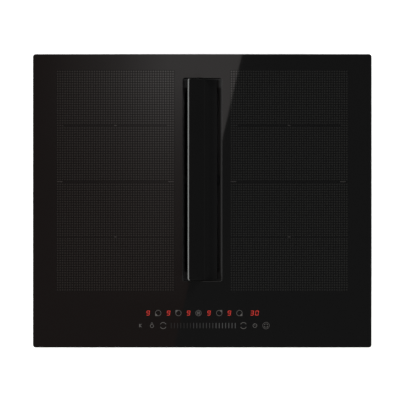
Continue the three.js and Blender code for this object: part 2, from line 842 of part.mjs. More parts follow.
function temperatureSensor() {
  const [bottom, top] = [plateTop + seatGap, coilTop];
  const shoulder = formerTop - formerThickness;
  const stem = 0.6 * sensorRadius;
  return revolve([[0, bottom], [sensorRadius, bottom], [sensorRadius, shoulder], [stem, shoulder],
    [stem, top], [0, top]], 12);
}

function insulationSheet() {
  return slab(roundedRect(zoneWidth, 2 * zoneDepth, plateMargin), insulationBottom, underGlass);
}

// Sheet plate under one pair of coils, on four folded legs.
function coilPlate() {
  const [width, depth] = [zoneWidth + 2 * plateMargin, 2 * zoneDepth + 2 * plateMargin];
  const plate = slab(roundedRect(width, depth, plateMargin), plateTop - plateSheet, plateTop);
  const pieces = [plate];
  const legX = width / 2 - plateSheet / 2;
  const legY = depth / 2 - plateMargin - plateLegWidth;
  const footX = width / 2 - plateFootLength / 2;
  for (const [sx, sy] of [[-1, -1], [1, -1], [-1, 1], [1, 1]]) {
    const footBottom = trayFloor + seatGap;
    pieces.push(box(plateSheet, plateLegWidth, footBottom, plateTop, sx * legX, sy * legY));
    const footTop = footBottom + plateSheet;
    pieces.push(box(plateFootLength, plateLegWidth, footBottom, footTop, sx * footX, sy * legY));
  }
  return join(...pieces);
}

for (const [side, x] of [['left', -zoneCentreX], ['right', zoneCentreX]]) {
  addPart(`coil_plate_${side}`, coilPlate(), aluminium).position.set(x, fieldCentreY, 0);
  addPart(`insulation_sheet_${side}`, insulationSheet(), mica).position.set(x, fieldCentreY, 0);
  for (const [end, y] of [['front', fieldCentreY - zoneDepth / 2], ['rear', fieldCentreY + zoneDepth / 2]]) {
    addPart(`coil_${end}_${side}`, coilWinding(), copper).position.set(x, y, 0);
    addPart(`coil_former_${end}_${side}`, coilFormer(), ferrite).position.set(x, y, 0);
    addPart(`temperature_sensor_${end}_${side}`, temperatureSensor(), stainless).position.set(x, y, 0);
  }
}

// ---------------------------------------------------------------- power electronics

function powerBoard() {
  const board = box(powerBoardWidth, powerBoardDepth, boardBottom, boardTop);
  const root = boardTop - boardThickness / 2;
  const x = powerBoardWidth / 2 - capacitorWidth / 2 - 4 * pillarRadius;
  const rowY = powerBoardDepth / 4;
  const capacitors = [-rowY, 0, rowY].map((y) =>
    box(capacitorWidth, capacitorDepth, root, boardTop + capacitorHeight, x, y));
  const inductor = cylinder(inductorRadius, root, boardTop + inductorHeight, -x, 0, 20);
  return join(board, ...capacitors, inductor);
}

function heatSink() {
  const bottom = boardTop + seatGap;
  const base = box(heatSinkWidth, heatSinkLength, bottom, bottom + heatSinkBase);
  const fins = [];
  for (let i = 0; i < heatSinkFinCount; i += 1) {
    const x = (i / (heatSinkFinCount - 1) - 0.5) * (heatSinkWidth - heatSinkFin);
    fins.push(box(heatSinkFin, heatSinkLength, bottom + heatSinkBase / 2, bottom + heatSinkHeight, x));
  }
  return join(base, ...fins);
}

function coolingFanFrame() {
  const bottom = trayFloor + seatGap;
  const top = bottom + coolingFanHeight;
  const body = slab(roundedRect(coolingFanSize, coolingFanSize, coolingFanCorner), bottom, top);
  const shell = cut(body, cylinder(coolingFanBore, 0, glassTop, 0, 0, 24));
  const hub = cylinder(coolingFanHub, bottom, bottom + coolingFanSpokeHeight, 0, 0, 14);
  const spokeLength = 2 * coolingFanBore + 2;
  const spoke = box(spokeLength, coolingFanSpoke, bottom, bottom + coolingFanSpokeHeight);
  const crossSpoke = box(coolingFanSpoke, spokeLength, bottom, bottom + coolingFanSpokeHeight);
  return join(shell, hub, spoke, crossSpoke);
}

function coolingFanRotor() {
  const bottom = trayFloor + 2 * seatGap + coolingFanSpokeHeight;
  const top = trayFloor + seatGap + coolingFanHeight;
  const middle = (bottom + top) / 2;
  const tipRadius = coolingFanBore - coolingFanRunGap;
  const pitch = THREE.MathUtils.degToRad(coolingFanBladePitch);
  const chord = (top - bottom - 2 * coolingFanBladeThickness) / Math.sin(pitch);
  const pieces = [cylinder(coolingFanHub, bottom, top, 0, 0, 14)];
  const bladeRoot = coolingFanHub - coolingFanBladeRoot;
  for (let i = 0; i < coolingFanBladeCount; i += 1) {
    const blade = new THREE.BoxGeometry(tipRadius - bladeRoot, chord, coolingFanBladeThickness);
    blade.rotateX(pitch).translate((tipRadius + bladeRoot) / 2, 0, middle);
    pieces.push(blade.rotateZ((2 * Math.PI * i) / coolingFanBladeCount));
  }
  const sweep = cylinder(tipRadius, bottom, top, 0, 0, 24);
  return common(join(...pieces), sweep);
}

for (const [side, sign] of [['left', -1], ['right', 1]]) {
  const board = addPart(`power_board_${side}`, powerBoard(), circuitBoard);
  board.position.set(sign * powerBoardX, powerBoardY, 0);
  board.rotation.z = sign < 0 ? Math.PI : 0;
  addPart(`heat_sink_${side}`, heatSink(), aluminium).position.set(sign * powerBoardX, powerBoardY, 0);
  addPart(`cooling_fan_frame_${side}`, coolingFanFrame(), blackPlastic)
    .position.set(sign * coolingFanX, coolingFanY, 0);
  addPart(`cooling_fan_rotor_${side}`, coolingFanRotor(), blackPlastic)
    .position.set(sign * coolingFanX, coolingFanY, 0);
}

function mainsFilterBoard() {
  const root = boardTop - boardThickness / 2;
  const board = box(mainsBoardWidth, mainsBoardDepth, boardBottom, boardTop);
  const choke = cylinder(inductorRadius, root, boardTop + inductorHeight, -mainsBoardWidth / 4, 0, 20);
  const capacitorTop = boardTop + capacitorHeight;
  const capacitor = box(capacitorDepth, capacitorWidth, root, capacitorTop, mainsBoardWidth / 4);
  return join(board, choke, capacitor);
}

function motorDriverBoard() {
  const root = boardTop - boardThickness / 2;
  const board = box(driverBoardWidth, driverBoardDepth, boardBottom, boardTop);
  const capacitorTop = boardTop + capacitorHeight;
  const capacitor = cylinder(inductorRadius / 2, root, capacitorTop, -driverBoardWidth / 4, 0, 16);
  const moduleTop = boardTop + inductorHeight / 2;
  const module = box(capacitorWidth, capacitorDepth, root, moduleTop, driverBoardWidth / 4);
  return join(board, capacitor, module);
}

function terminalBox() {
  const bottom = trayFloor + seatGap;
  const outer = box(terminalBoxWidth, terminalBoxDepth, bottom, bottom + terminalBoxHeight);
  const innerWidth = terminalBoxWidth - 2 * terminalBoxWall;
  const innerDepth = terminalBoxDepth - terminalBoxWall;
  const innerBottom = bottom + terminalBoxWall;
  const innerTop = bottom + terminalBoxHeight - terminalBoxWall;
  const inner = box(innerWidth, innerDepth, innerBottom, innerTop, 0, terminalBoxWall);
  return cut(outer, inner);
}

// Gland with its clamping nut outside the tray, and a through bore for a mains cord.
function cableGland() {
  const inside = -traySheet - seatGap - glandInnerLength;
  const seat = seatGap;
  const profile = [[glandBore, inside], [glandStemRadius, inside], [glandStemRadius, seat],
    [glandNutRadius, seat], [glandNutRadius, seat + 0.7 * glandNutLength],
    [glandStemRadius, seat + glandNutLength], [glandBore, seat + glandNutLength]];
  return revolve(profile, 12).rotateX(-Math.PI / 2);
}

addPart('mains_filter_board', mainsFilterBoard(), circuitBoard).position.set(mainsBoardX, mainsBoardY, 0);
addPart('motor_driver_board', motorDriverBoard(), circuitBoard).position.set(driverBoardX, driverBoardY, 0);
const terminalBoxY = trayLength / 2 - traySheet - seatGap - terminalBoxDepth / 2 - terminalBoxSetback;
addPart('terminal_box', terminalBox(), blackPlastic).position.set(glandX, terminalBoxY, 0);
const glandZ = trayFloor + glandHeight;
addPart('cable_gland', cableGland(), blackPlastic).position.set(glandX, trayLength / 2, glandZ);

// ---------------------------------------------------------------- touch controls

function controlCarrier() {
  const width = controlBoardWidth + 2 * carrierTrayRim;
  const depth = controlBoardDepth + 2 * carrierTrayRim;
  const bottom = carrierTrayTop - carrierTrayHeight;
  const outer = slab(roundedRect(width, depth, carrierTrayCorner), bottom, carrierTrayTop);
  const wall = 2 * carrierTrayWall;
  const inner = box(width - 2 * wall, depth - 2 * wall, bottom + carrierTrayWall, glassTop);
  const shell = cut(outer, inner);
  const legY = depth / 2 - carrierLegSize / 2;
  const legs = [[-1, -1], [1, -1], [-1, 1], [1, 1]].map(([sx, sy]) =>
    box(carrierLegSize, carrierLegSize, trayFloor + seatGap, bottom + carrierTrayWall / 2,
      sx * carrierLegX, sy * legY));
  return join(shell, ...legs);
}

function controlBoard() {
  const outline = roundedRect(controlBoardWidth, controlBoardDepth, controlBoardCorner);
  return slab(outline, controlBoardBottom, controlBoardTop);
}

function displayStrip() {
  const top = underGlass;
  const body = box(displayStripWidth, displayStripDepth, top - displayHeight, top);
  const windows = [];
  for (let i = 0; i < displayCount; i += 1) {
    const x = (i - (displayCount - 1) / 2) * displaySpacing;
    windows.push(box(displayWindowWidth, displayWindowDepth, top - displayPocketDepth, top + 1, x));
  }
  return cut(body, ...windows);
}

function sliderStrip() {
  const top = underGlass;
  const body = box(sliderWidth, sliderDepth, top - displayHeight, top);
  const windows = [];
  for (let i = 0; i < sliderCount; i += 1) {
    const x = (i - (sliderCount - 1) / 2) * sliderPitch;
    windows.push(box(sliderBarWidth, displayWindowDepth, top - displayPocketDepth, top + 1, x));
  }
  return cut(body, ...windows);
}

addPart('control_carrier', controlCarrier(), blackPlastic).position.set(controlX, controlY, 0);
addPart('control_board', controlBoard(), circuitBoard).position.set(controlX, controlY, 0);
addPart('display_strip', displayStrip(), displayPlastic).position.set(displayStripX, displayStripY, 0);
addPart('slider_strip', sliderStrip(), displayPlastic).position.set(sliderX, sliderY, 0);

// ---------------------------------------------------------------- lower housing

const housingCentreX = (housingLeft + housingRight) / 2;
const housingCentreY = (housingFront + housingBack) / 2;
const housingWidth = housingRight - housingLeft;
const housingDepth = housingBack - housingFront;

// Drafted block of the housing: every side but the back leans in towards the floor.
function housingBlock(bottom, top, inset) {
  const drop = (housingTop - bottom) / housingTop;
  const lean = housingDraft * drop;
  const width = housingWidth - 2 * inset;
  const depth = housingDepth - 2 * inset;
  const corner = housingCorner - inset;
  const low = roundedRect(width - 2 * lean, depth - lean, corner, housingCentreX, housingCentreY + lean / 2);
  const high = roundedRect(width, depth, corner, housingCentreX, housingCentreY);
  return loft([outlineAt(low, bottom), outlineAt(high, top)]);
}

// Upright ribs outside the left, front and right walls, under the rim.
function housingRibs() {
  const ribs = [];
  const bottom = 2 * housingFloor;
  const reach = housingDraft + housingRim - 1;
  const across = Math.floor((housingWidth - 3 * housingCorner) / housingRibSpacing);
  for (let i = 0; i <= across; i += 1) {
    const x = housingCentreX + (i - across / 2) * housingRibSpacing;
    const y = housingFront + housingDraft + housingWall / 2 - reach / 2;
    ribs.push(box(housingRibThickness, reach, bottom, housingTop, x, y));
  }
  const along = Math.floor((housingDepth - 3 * housingCorner) / housingRibSpacing);
  for (let i = 0; i <= along; i += 1) {
    const y = housingCentreY + (i - along / 2) * housingRibSpacing;
    const offset = housingDraft + housingWall / 2 - reach / 2;
    ribs.push(box(reach, housingRibThickness, bottom, housingTop, housingLeft + offset, y));
    ribs.push(box(reach, housingRibThickness, bottom, housingTop, housingRight - offset, y));
  }
  return ribs;
}

function scrollPostPlaces() {
  const reach = scrollStartRadius - 2 * scrollPostRadius;
  return [45, 135, 225, 315].map((degrees) => {
    const angle = THREE.MathUtils.degToRad(degrees);
    return [fanX + reach * Math.cos(angle), fanY + reach * Math.sin(angle)];
  });
}

function lowerHousing() {
  const block = housingBlock(footHeight, housingTop, 0);
  const rimOutline = roundedRect(housingWidth + 2 * housingRim, housingDepth + 2 * housingRim,
    housingCorner + housingRim, housingCentreX, housingCentreY);
  const rim = slab(rimOutline, housingTop - housingWall, housingTop, 2);
  const feet = [[-1, -1], [1, -1], [-1, 1], [1, 1]].map(([sx, sy]) =>
    cylinder(footRadius, 0, housingFloor - housingWall / 2,
      housingCentreX + sx * (housingWidth / 2 - footInset - housingDraft),
      housingCentreY + sy * (housingDepth / 2 - footInset - housingDraft), 20));
  const inside = housingBlock(housingFloor, housingTop + 1, housingWall);
  const holeWidth = outletWidth + 2 * outletHoleClearance;
  const holeHeight = outletHeight + 2 * outletHoleClearance;
  const ductHole = box(holeWidth, 4 * housingWall, outletCentreZ - holeHeight / 2,
    outletCentreZ + holeHeight / 2, outletX, housingBack);
  const drain = cylinder(drainRadius, 0, 2 * housingFloor, drainX, drainY, 20);
  const shell = cut(join(block, rim, ...feet, ...housingRibs()), inside, ductHole, drain);
  const posts = scrollPostPlaces().map(([x, y]) =>
    cylinder(scrollPostRadius, housingFloor - housingWall / 2, scrollBottom - seatGap, x, y, 12));
  return join(shell, ...posts);
}

function drainPlug() {
  const headTop = footHeight - seatGap;
  const headBottom = headTop - drainHeadThickness;
  const stem = drainRadius - seatGap;
  const top = housingFloor + drainStemReach;
  return revolve([[0, headBottom], [drainHeadRadius, headBottom], [drainHeadRadius, headTop],
    [stem, headTop], [stem, top], [0, top]], 14);
}

addPart('lower_housing', lowerHousing(), blackPlastic);
addPart('drain_plug', drainPlug(), rubber).position.set(drainX, drainY, 0);

// ---------------------------------------------------------------- extractor fan

const extractor = new THREE.Group();
extractor.position.set(fanX, fanY, 0);
cooktop.add(extractor);

// Spiral outline whose radius grows evenly round the impeller and runs out straight to the rear.
function scrollOutline(offset, exitY) {
  const start = THREE.MathUtils.degToRad(scrollStartAngle);
  const steps = 22;
  const shape = new THREE.Shape();
  for (let i = 0; i <= steps; i += 1) {
    const turn = i / steps;
    const angle = start + turn * (2 * Math.PI - start);
    const radius = scrollStartRadius + turn * (scrollEndRadius - scrollStartRadius) + offset;
    const point = [radius * Math.cos(angle), radius * Math.sin(angle)];
    if (i === 0) {
      shape.moveTo(scrollStartRadius * Math.cos(start) - offset, exitY);
    }
    shape.lineTo(...point);
  }
  shape.lineTo(scrollEndRadius + offset, exitY);
  shape.closePath();
  return shape;
}

function scrollHousing() {
  const outer = slab(scrollOutline(scrollWall, scrollExitReach), scrollBottom, scrollTop);
  const inner = slab(scrollOutline(0, scrollExitReach + 1), scrollFloor, scrollTop + 1);
  return cut(outer, inner);
}

// Cover plate with its bell mouth, whose throat dips to the impeller's front ring.
function scrollCover() {
  const [bottom, top] = [scrollTop + seatGap, scrollTop + seatGap + scrollWall];
  const seamRadius = inletRadius + inletFlare + inletFlangeWidth / 2;
  const plate = slab(scrollOutline(scrollWall, scrollExitReach), bottom, top);
  const plateWithHole = cut(plate, cylinder(seamRadius, scrollTop - 1, top + 1, 0, 0, 24));
  const throatBottom = scrollTop - inletDip;
  const upper = [];
  const lower = [];
  const steps = 3;
  for (let i = 0; i <= steps; i += 1) {
    const angle = (Math.PI / 2) * (i / steps);
    const reach = inletFlare * (1 - Math.sin(angle));
    const drop = inletFlare * (1 - Math.cos(angle));
    const back = (scrollWall * i) / steps;
    upper.push([inletRadius + reach, top - drop]);
    lower.unshift([inletRadius + reach + back, bottom - drop + back]);
  }
  const outerRadius = seamRadius + inletFlangeWidth / 2;
  const bell = revolve([[outerRadius, bottom], [outerRadius, top], ...upper,
    [inletRadius, throatBottom], [inletRadius + scrollWall, throatBottom], ...lower], 24);
  return join(plateWithHole, bell);
}

// One forward-curved blade: a thin crescent between two arcs, leaning out of the radial line.
function impellerBlade() {
  const chord = impellerRadius - impellerInnerRadius;
  const bow = 0.35 * chord;
  const shape = new THREE.Shape();
  const half = impellerBladeThickness / 2;
  const tip = impellerRadius - impellerBladeTipGap;
  shape.moveTo(impellerInnerRadius, -half);
  shape.quadraticCurveTo(impellerInnerRadius + 0.6 * chord, -half - 0.2 * bow, tip, bow - half);
  shape.lineTo(tip - half, bow + half);
  shape.quadraticCurveTo(impellerInnerRadius + 0.5 * chord, half, impellerInnerRadius, half);
  shape.closePath();
  return slab(shape, impellerBottom + impellerPlate / 2, impellerTop - impellerRingHeight / 2, 2);
}

function impeller() {
  const domeRadius = motorRadius + domeGap;
  const domeTop = motorTop + domeGap;
  const plateTopZ = impellerBottom + impellerPlate;
  const hubTop = domeTop + hubHeight;
  const bore = shaftRadius + seatGap;
  const skirtRadius = domeRadius + impellerSkirtSpread;
  const outerChamfer = impellerDomeChamfer - 1;
  const back = revolve([[bore, domeTop], [domeRadius - impellerDomeChamfer, domeTop],
    [domeRadius, domeTop - impellerDomeChamfer], [skirtRadius, impellerBottom],
    [impellerRadius, impellerBottom], [impellerRadius, plateTopZ],
    [skirtRadius + impellerPlate, plateTopZ], [domeRadius + impellerPlate, domeTop - outerChamfer],
    [domeRadius - outerChamfer, domeTop + impellerPlate], [hubRadius, domeTop + impellerPlate],
    [hubRadius, hubTop], [bore, hubTop]], impellerBladeCount);
  const ringInner = inletRadius + scrollWall + inletRunGap;
  const ringBottom = impellerTop - impellerRingHeight;
  const ringOuter = impellerRadius + impellerRimOverhang;
  const ring = revolve([[ringInner, ringBottom], [ringOuter, ringBottom], [ringOuter, impellerTop],
    [ringInner, impellerTop]], impellerBladeCount);
  const blades = [];
  for (let i = 0; i < impellerBladeCount; i += 1) {
    blades.push(impellerBlade().rotateZ((2 * Math.PI * i) / impellerBladeCount));
  }
  return join(back, ring, ...blades);
}

function fanMotor() {
  const bore = shaftRadius + seatGap;
  const boreBottom = motorTop - motorShaftReach;
  const flangeTop = motorBottom + motorFlangeThickness;
  return revolve([[0, motorBottom], [motorFlangeRadius, motorBottom], [motorFlangeRadius, flangeTop],
    [motorRadius, flangeTop], [motorRadius, motorTop - motorChamfer], [motorRadius - motorChamfer, motorTop],
    [bore, motorTop], [bore, boreBottom], [0, boreBottom]], 20);
}

function motorShaft() {
  const bottom = motorTop - motorShaftReach + seatGap;
  return cylinder(shaftRadius, bottom, motorTop + domeGap + hubHeight + motorShaftTip, 0, 0, 16);
}

addPart('scroll_housing', scrollHousing(), blackPlastic, extractor);
addPart('scroll_cover', scrollCover(), blackPlastic, extractor);
addPart('impeller', impeller(), greyPlastic, extractor);
addPart('extractor_motor', fanMotor(), galvanisedSteel, extractor);
addPart('motor_shaft', motorShaft(), stainless, extractor);

// ---------------------------------------------------------------- outlet

// Rounded rectangle across the outlet, standing at one distance towards the rear.
function ductSection(y, x, z, width, height) {
  const outline = roundedRect(width, height, outletCorner, x, -z);
  return outlineAt(outline, y, 1).map((point) => new THREE.Vector3(point.x, point.z, -point.y));
}

// Duct that widens from the scroll's exit to the flat outlet.
function ductLoft(inset, startY, endY) {
  const startAngle = THREE.MathUtils.degToRad(scrollStartAngle);
  const exitLeft = fanX + scrollStartRadius * Math.cos(startAngle) - scrollWall;
  const exitRight = fanX + scrollEndRadius + scrollWall;
  const start = { x: (exitLeft + exitRight) / 2, z: (scrollBottom + scrollTop) / 2 };
  const startSize = { width: exitRight - exitLeft, height: scrollTop - scrollBottom };
  const sections = [];
  const steps = 6;
  for (let i = 0; i <= steps; i += 1) {
    const along = i / steps;
    const ease = along * along * (3 - 2 * along);
    const width = THREE.MathUtils.lerp(startSize.width, outletWidth, ease) - 2 * inset;
    const height = THREE.MathUtils.lerp(startSize.height, outletHeight, ease) - 2 * inset;
    const x = THREE.MathUtils.lerp(start.x, outletX, ease);
    const z = THREE.MathUtils.lerp(start.z, outletCentreZ, ease);
    sections.push(ductSection(THREE.MathUtils.lerp(startY, endY, along), x, z, width, height));
  }
  return sections;
}

function outletDuct() {
  const startY = scrollExitY + seatGap;
  const outer = ductLoft(0, startY, housingBack);
  const inner = ductLoft(outletWall, startY, housingBack);
  const stretch = new THREE.Vector3(0, 1, 0);
  inner[0] = inner[0].map((point) => point.clone().sub(stretch));
  inner[inner.length - 1] = inner[inner.length - 1].map((point) => point.clone().add(stretch));
  return cut(loft(outer), loft(inner));
}

function outletSpigot() {
  const startY = housingBack + seatGap;
  const span = (y, width, height) => ductSection(y, outletX, outletCentreZ, width, height);
  const flange = loft([startY, startY + outletWall].map((y) =>
    span(y, outletWidth + 2 * outletFlange, outletHeight + 2 * outletFlange)));
  const tube = loft([startY, housingBack + outletReach].map((y) => span(y, outletWidth, outletHeight)));
  const innerWidth = outletWidth - 2 * outletWall;
  const innerHeight = outletHeight - 2 * outletWall;
  const boreEnds = [startY - 1, housingBack + outletReach + 1];
  const bore = loft(boreEnds.map((y) => span(y, innerWidth, innerHeight)));
  return cut(join(flange, tube), bore);
}

addPart('outlet_duct', outletDuct(), blackPlastic);
addPart('outlet_spigot', outletSpigot(), blackPlastic);

// ---------------------------------------------------------------- worktop clamps

// Angle on the tray's side wall, with a screw that presses up against the worktop.
function worktopClamp() {
  const upright = box(clampSheet, clampWidth, clampFootZ, clampFootZ + clampHeight, clampSheet / 2);
  const foot = box(clampFootLength, clampWidth, clampFootZ, clampFootZ + clampSheet, clampFootLength / 2);
  const screwX = clampFootLength - 2 * clampScrewRadius;
  const screwTop = clampFootZ + clampSheet + clampScrewRise;
  const screw = cylinder(clampScrewRadius, screwTop - clampScrewLength, screwTop, screwX, 0, 12);
  return join(upright, foot, screw);
}

for (const [side, sign] of [['left', -1], ['right', 1]]) {
  for (const [end, y] of [['front', -clampY], ['rear', clampY]]) {
    const clamp = addPart(`clamp_${end}_${side}`, worktopClamp(), galvanisedSteel);
    clamp.position.set(sign * (trayWidth / 2 + seatGap), y, 0);
    clamp.rotation.z = sign < 0 ? Math.PI : 0;
  }
}

export default cooktop;
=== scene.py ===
"""Downdraft induction cooktop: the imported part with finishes, prints and screws, lit as in the photo."""

import json
import math
from types import SimpleNamespace

import bmesh
import bpy
from mathutils import Matrix, Vector

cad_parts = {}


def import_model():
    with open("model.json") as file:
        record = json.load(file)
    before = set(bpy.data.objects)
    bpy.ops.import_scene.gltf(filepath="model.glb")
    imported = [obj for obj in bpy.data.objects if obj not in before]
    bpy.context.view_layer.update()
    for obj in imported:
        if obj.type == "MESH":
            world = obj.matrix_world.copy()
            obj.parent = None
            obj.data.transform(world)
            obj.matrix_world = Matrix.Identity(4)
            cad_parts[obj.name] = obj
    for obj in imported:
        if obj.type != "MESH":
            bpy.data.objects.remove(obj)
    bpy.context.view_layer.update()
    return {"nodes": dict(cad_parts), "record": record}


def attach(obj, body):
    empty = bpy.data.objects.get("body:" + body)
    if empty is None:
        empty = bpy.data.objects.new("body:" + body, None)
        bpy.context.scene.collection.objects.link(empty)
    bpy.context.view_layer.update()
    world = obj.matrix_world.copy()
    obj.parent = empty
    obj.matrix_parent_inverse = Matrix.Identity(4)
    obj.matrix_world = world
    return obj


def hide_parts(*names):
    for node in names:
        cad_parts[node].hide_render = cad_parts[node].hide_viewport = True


MM = 0.001
FULL_TURN = 2 * math.pi

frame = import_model()


def box(node):
    """The box of a CAD node in millimetres: its sides, its middle and its size along X and Y."""
    points = [vert.co / MM for vert in frame["nodes"][node].data.vertices]
    left, front, bottom = (round(min(point[axis] for point in points), 3) for axis in range(3))
    right, rear, top = (round(max(point[axis] for point in points), 3) for axis in range(3))
    sides = dict(left=left, right=right, front=front, rear=rear, bottom=bottom, top=top)
    middle = dict(x=(left + right) / 2, y=(front + rear) / 2, z=(bottom + top) / 2)
    return SimpleNamespace(**sides, **middle, width=right - left, depth=rear - front)


# ---------------------------------------------------------------- sizes in millimetres, in the part's frame

GLASS = box("glass_top")
GLASS_CORNER = 5
GLASS_BEVEL = 0.8

# The prints stand a little on the glass: lines and glow low, dots, figures and icons over them
LOW_PRINT = GLASS.top + 0.05
PRINT = GLASS.top + 0.1

# The flap's glass leans about the middle of its box, and the cut-out lies round the same middle
FLAP = box("flap_glass")
FLAP_TILT = 43
PANE = dict(width=68.2, corner=3.5, thickness=5, bevel=0.6, under_bevel=1.6)
CUTOUT = dict(width=68.8, depth=360, corner=4, centre_y=FLAP.y)
CUTOUT_HALF = CUTOUT["width"] / 2

# Where the painted light changes: from where to where the painted glow on the flap and the painted shade of
# the filter go along X, and how far from the middle along Y, or from the flap's low side along X, painted
# stray light lies on the insert
FLAP_PAINTED_GLOW = (15, 27)
FILTER_PAINTED_SHADE = (-30, 30)
INSERT_ENDS = (163, 165)
INSERT_TIPS = (176.8, 177.6)
INSERT_OPEN_SIDE = (30, 40)

# The dotted prints: the rows with marks are counted from the rear, and the dashes at the ends of the middle
# one stand in by an inset at the left and at the right of each field
FIELD = dict(centre_x=153.9, rear_y=229.1, pitch=4.346, columns=48, rows=90, dot=1.4, line=0.4)
MARK_ROWS = dict(rear=22, middle=45, front=67.4)
ROW_NUDGE = 0.65
REAR_MARK_COLUMNS = 3
MIDDLE_DASH = dict(width=5, depth=1.8)
END_DASH = dict(width=10, depth=1.7, to_rear=0.5, insets={-1: (3.6, 3.6), 1: (3.6, 7.0)})

# The figures of the display, from left to right
SEGMENTS = {"0": "abcdef", "3": "abcdg", "9": "abcdfg"}
DIGIT = dict(width=5.6, height=8.3, line=0.85, gap=0.5, slant=0.14, row=-198.7, glow=1.8)
ZONE_DIGITS = (-96.0, -59.8, -24.4, 11.8, 47.8)
DIGIT_PLACES = (*((x, "9") for x in ZONE_DIGITS), (88.3, "3"), (96.9, "0"))

# The rings between the figures, with (x, side, end) of each zone, and the fan ring of the extractor: a
# ring is open for gap degrees on each side of its filled corner, and a blade starts at an angle and sweeps
RING = dict(radius=4.9, line=0.72, gap=40, reach=5.2, leg=5.4)
ZONE_RINGS = ((-78.1, -1, -1), (-42.2, -1, 1), (30.1, 1, 1), (65.8, 1, -1))
FAN_RING = dict(x=-6.7, blade_radius=1.7, blade_length=2.9, first=20, sweep=50, steps=5)

SLIDER = dict(row=-220.9, start=-55, pitch=5.67, width=1.3, depth=9.4, lit=0.24)
SLIDER_SHADES = {"low": "#4A4A4A", "middle": "#6A6A6A", "high": "#8C8C8C"}
BARS_OF_A_SHADE = 7

# The keys pause and lock, the two ends of the slider, and the keys timer and power. From the middle of a
# key, its bars are (x, y, width, depth, slant) and its arcs (x, y, radius, line, start, end, steps)
SLIDER_END = ((0, 0, 5.4, 1.0, 25, 155, 20), (0, 0, 5.4, 1.0, 205, 335, 20))
INNER_RING = tuple((0, 0, 3.3, 1.1, at - 26, at + 26, 6) for at in (45, 135, 225, 315))
KEYS = (
    dict(x=-111.0, bars=((0, 0, 1.4, 5.6, 0), (2.1, 1.6, 1.4, 2.6, 0.9), (2.1, -1.6, 1.4, 2.6, -0.9))),
    dict(x=-89.1, arcs=((0, -0.7, 2.9, 0.9, 0, 360, 20), (0, 3.4, 1.5, 0.9, 0, 180, 8))),
    dict(x=-69.2, arcs=SLIDER_END),
    dict(x=73.0, arcs=SLIDER_END),
    dict(x=93.3, arcs=((0, 0, 3.4, 0.85, 0, 360, 20),), bars=((-0.4, 0.9, 0.8, 1.9, -0.5),)),
    dict(x=112.9, arcs=((0, 0, 5.9, 0.55, 0, 360, 20), *INNER_RING)),
)

# The screws: the radius of a head, and where it sits from the middle or the sides of its piece
RIM_SCREW = dict(radius=3.2, inset=4, rim=2.5, places=(-164, -82, 0, 82, 164))
SPIGOT_SCREW = dict(radius=3.4, flange=2.5, up=50.5, across=(-100, -34, 34, 100), sides=117)
CLAMP_SCREW = dict(radius=2.8, plate=2, below_top=12, apart=(-6, 6))
BOARD_SCREW = dict(radius=2.8, inset=6, board=1.6)
FAN_SCREW = dict(radius=2.4, inset=5)
BOARDS = ("power_board_left", "power_board_right", "mains_filter_board", "motor_driver_board")

# The camera looks straight down, and its picture is view_width across on the glass
CAMERA = dict(x=-4.0, y=1.5, lens=250, sensor=36, view_width=708.4, clip_end=50)

FLOOR = dict(side=18000, drop=0.5, whitening=0.55)
FLAG = dict(x=900, front=-500, rear=600, bottom=215, top=420)

# The softbox's card in millimetres, before it is scaled up. Its light, in metres where it is mirrored on
# the glass: the level across X and along Y, how much further along it is to the right, and the line
# x = edge_start + edge_slope * y that is its right edge
SOFTBOX_CARD = (1800, 1600)
SOFTBOX = dict(
    height=1.2,
    across=((-0.3, 0), (-0.27, 0.05), (-0.231, 0.155), (-0.189, 0.27), (-0.146, 0.45), (-0.1035, 0.73),
            (-0.061, 1)),
    along=((-0.19, 0), (-0.087, 0.13), (0.019, 0.24), (0.083, 0.39), (0.147, 0.65), (0.19, 0.86),
           (0.211, 1)),
    right_lift=2.0,
    edge_slope=0.2317,
    edge_start=0.01017,
    edge_blur=0.0005,
    warm=(0.06, 0.012, 0.001, 1),
    brightness=0.62,
)

# The lamps, in metres: name, place, diameter and watts
LAMPS = (
    ("key_light", (-1.6, -1.2, 2.2), 1.2, 60),
    ("fill_light", (1.9, -1.0, 1.4), 1.0, 22),
    ("rim_light", (0.3, 2.2, 1.8), 1.0, 30),
)
LAMP_TARGET = (0, 0, 0.1)

# The surround's strengths: on matt surfaces, and where it is mirrored, by how high the ray goes from 0 to 1
SURROUND = dict(matt=0.75, mirrored_low=0.75, mirrored_high=0.12, low=0.05, high=0.8)


# ---------------------------------------------------------------- colour and shader helpers


def linear(code):
    """An sRGB hex colour as linear red, green, blue and an alpha of one."""
    parts = [int(code[i : i + 2], 16) / 255 for i in (1, 3, 5)]
    return tuple(c / 12.92 if c <= 0.04045 else ((c + 0.055) / 1.055) ** 2.4 for c in parts) + (1.0,)


def add(tree, kind, *values, stops=(), inputs=None, **settings):
    """Adds a node and sets its properties. Values or sockets feed its inputs, in their order or by name,
    and the stops of a colour ramp are (position, hex colour or grey level)."""
    node = tree.nodes.new(kind)
    for key, value in settings.items():
        setattr(node, key, value)
    for key, value in (*enumerate(values), *(inputs or {}).items()):
        if isinstance(value, bpy.types.NodeSocket):
            tree.links.new(value, node.inputs[key])
        else:
            node.inputs[key].default_value = value
    for i, (position, shade) in enumerate(stops):
        ends = {0: 0, len(stops) - 1: -1}
        elements = node.color_ramp.elements
        element = elements[ends[i]] if i in ends else elements.new(position)
        element.position = position
        element.color = linear(shade) if isinstance(shade, str) else (shade, shade, shade, 1)
    return node


def new_material(name):
    """An empty material, its tree and its output."""
    made = bpy.data.materials.new(name)
    made.use_nodes = True
    tree = made.node_tree
    tree.nodes.clear()
    return made, tree, tree.nodes.new("ShaderNodeOutputMaterial")


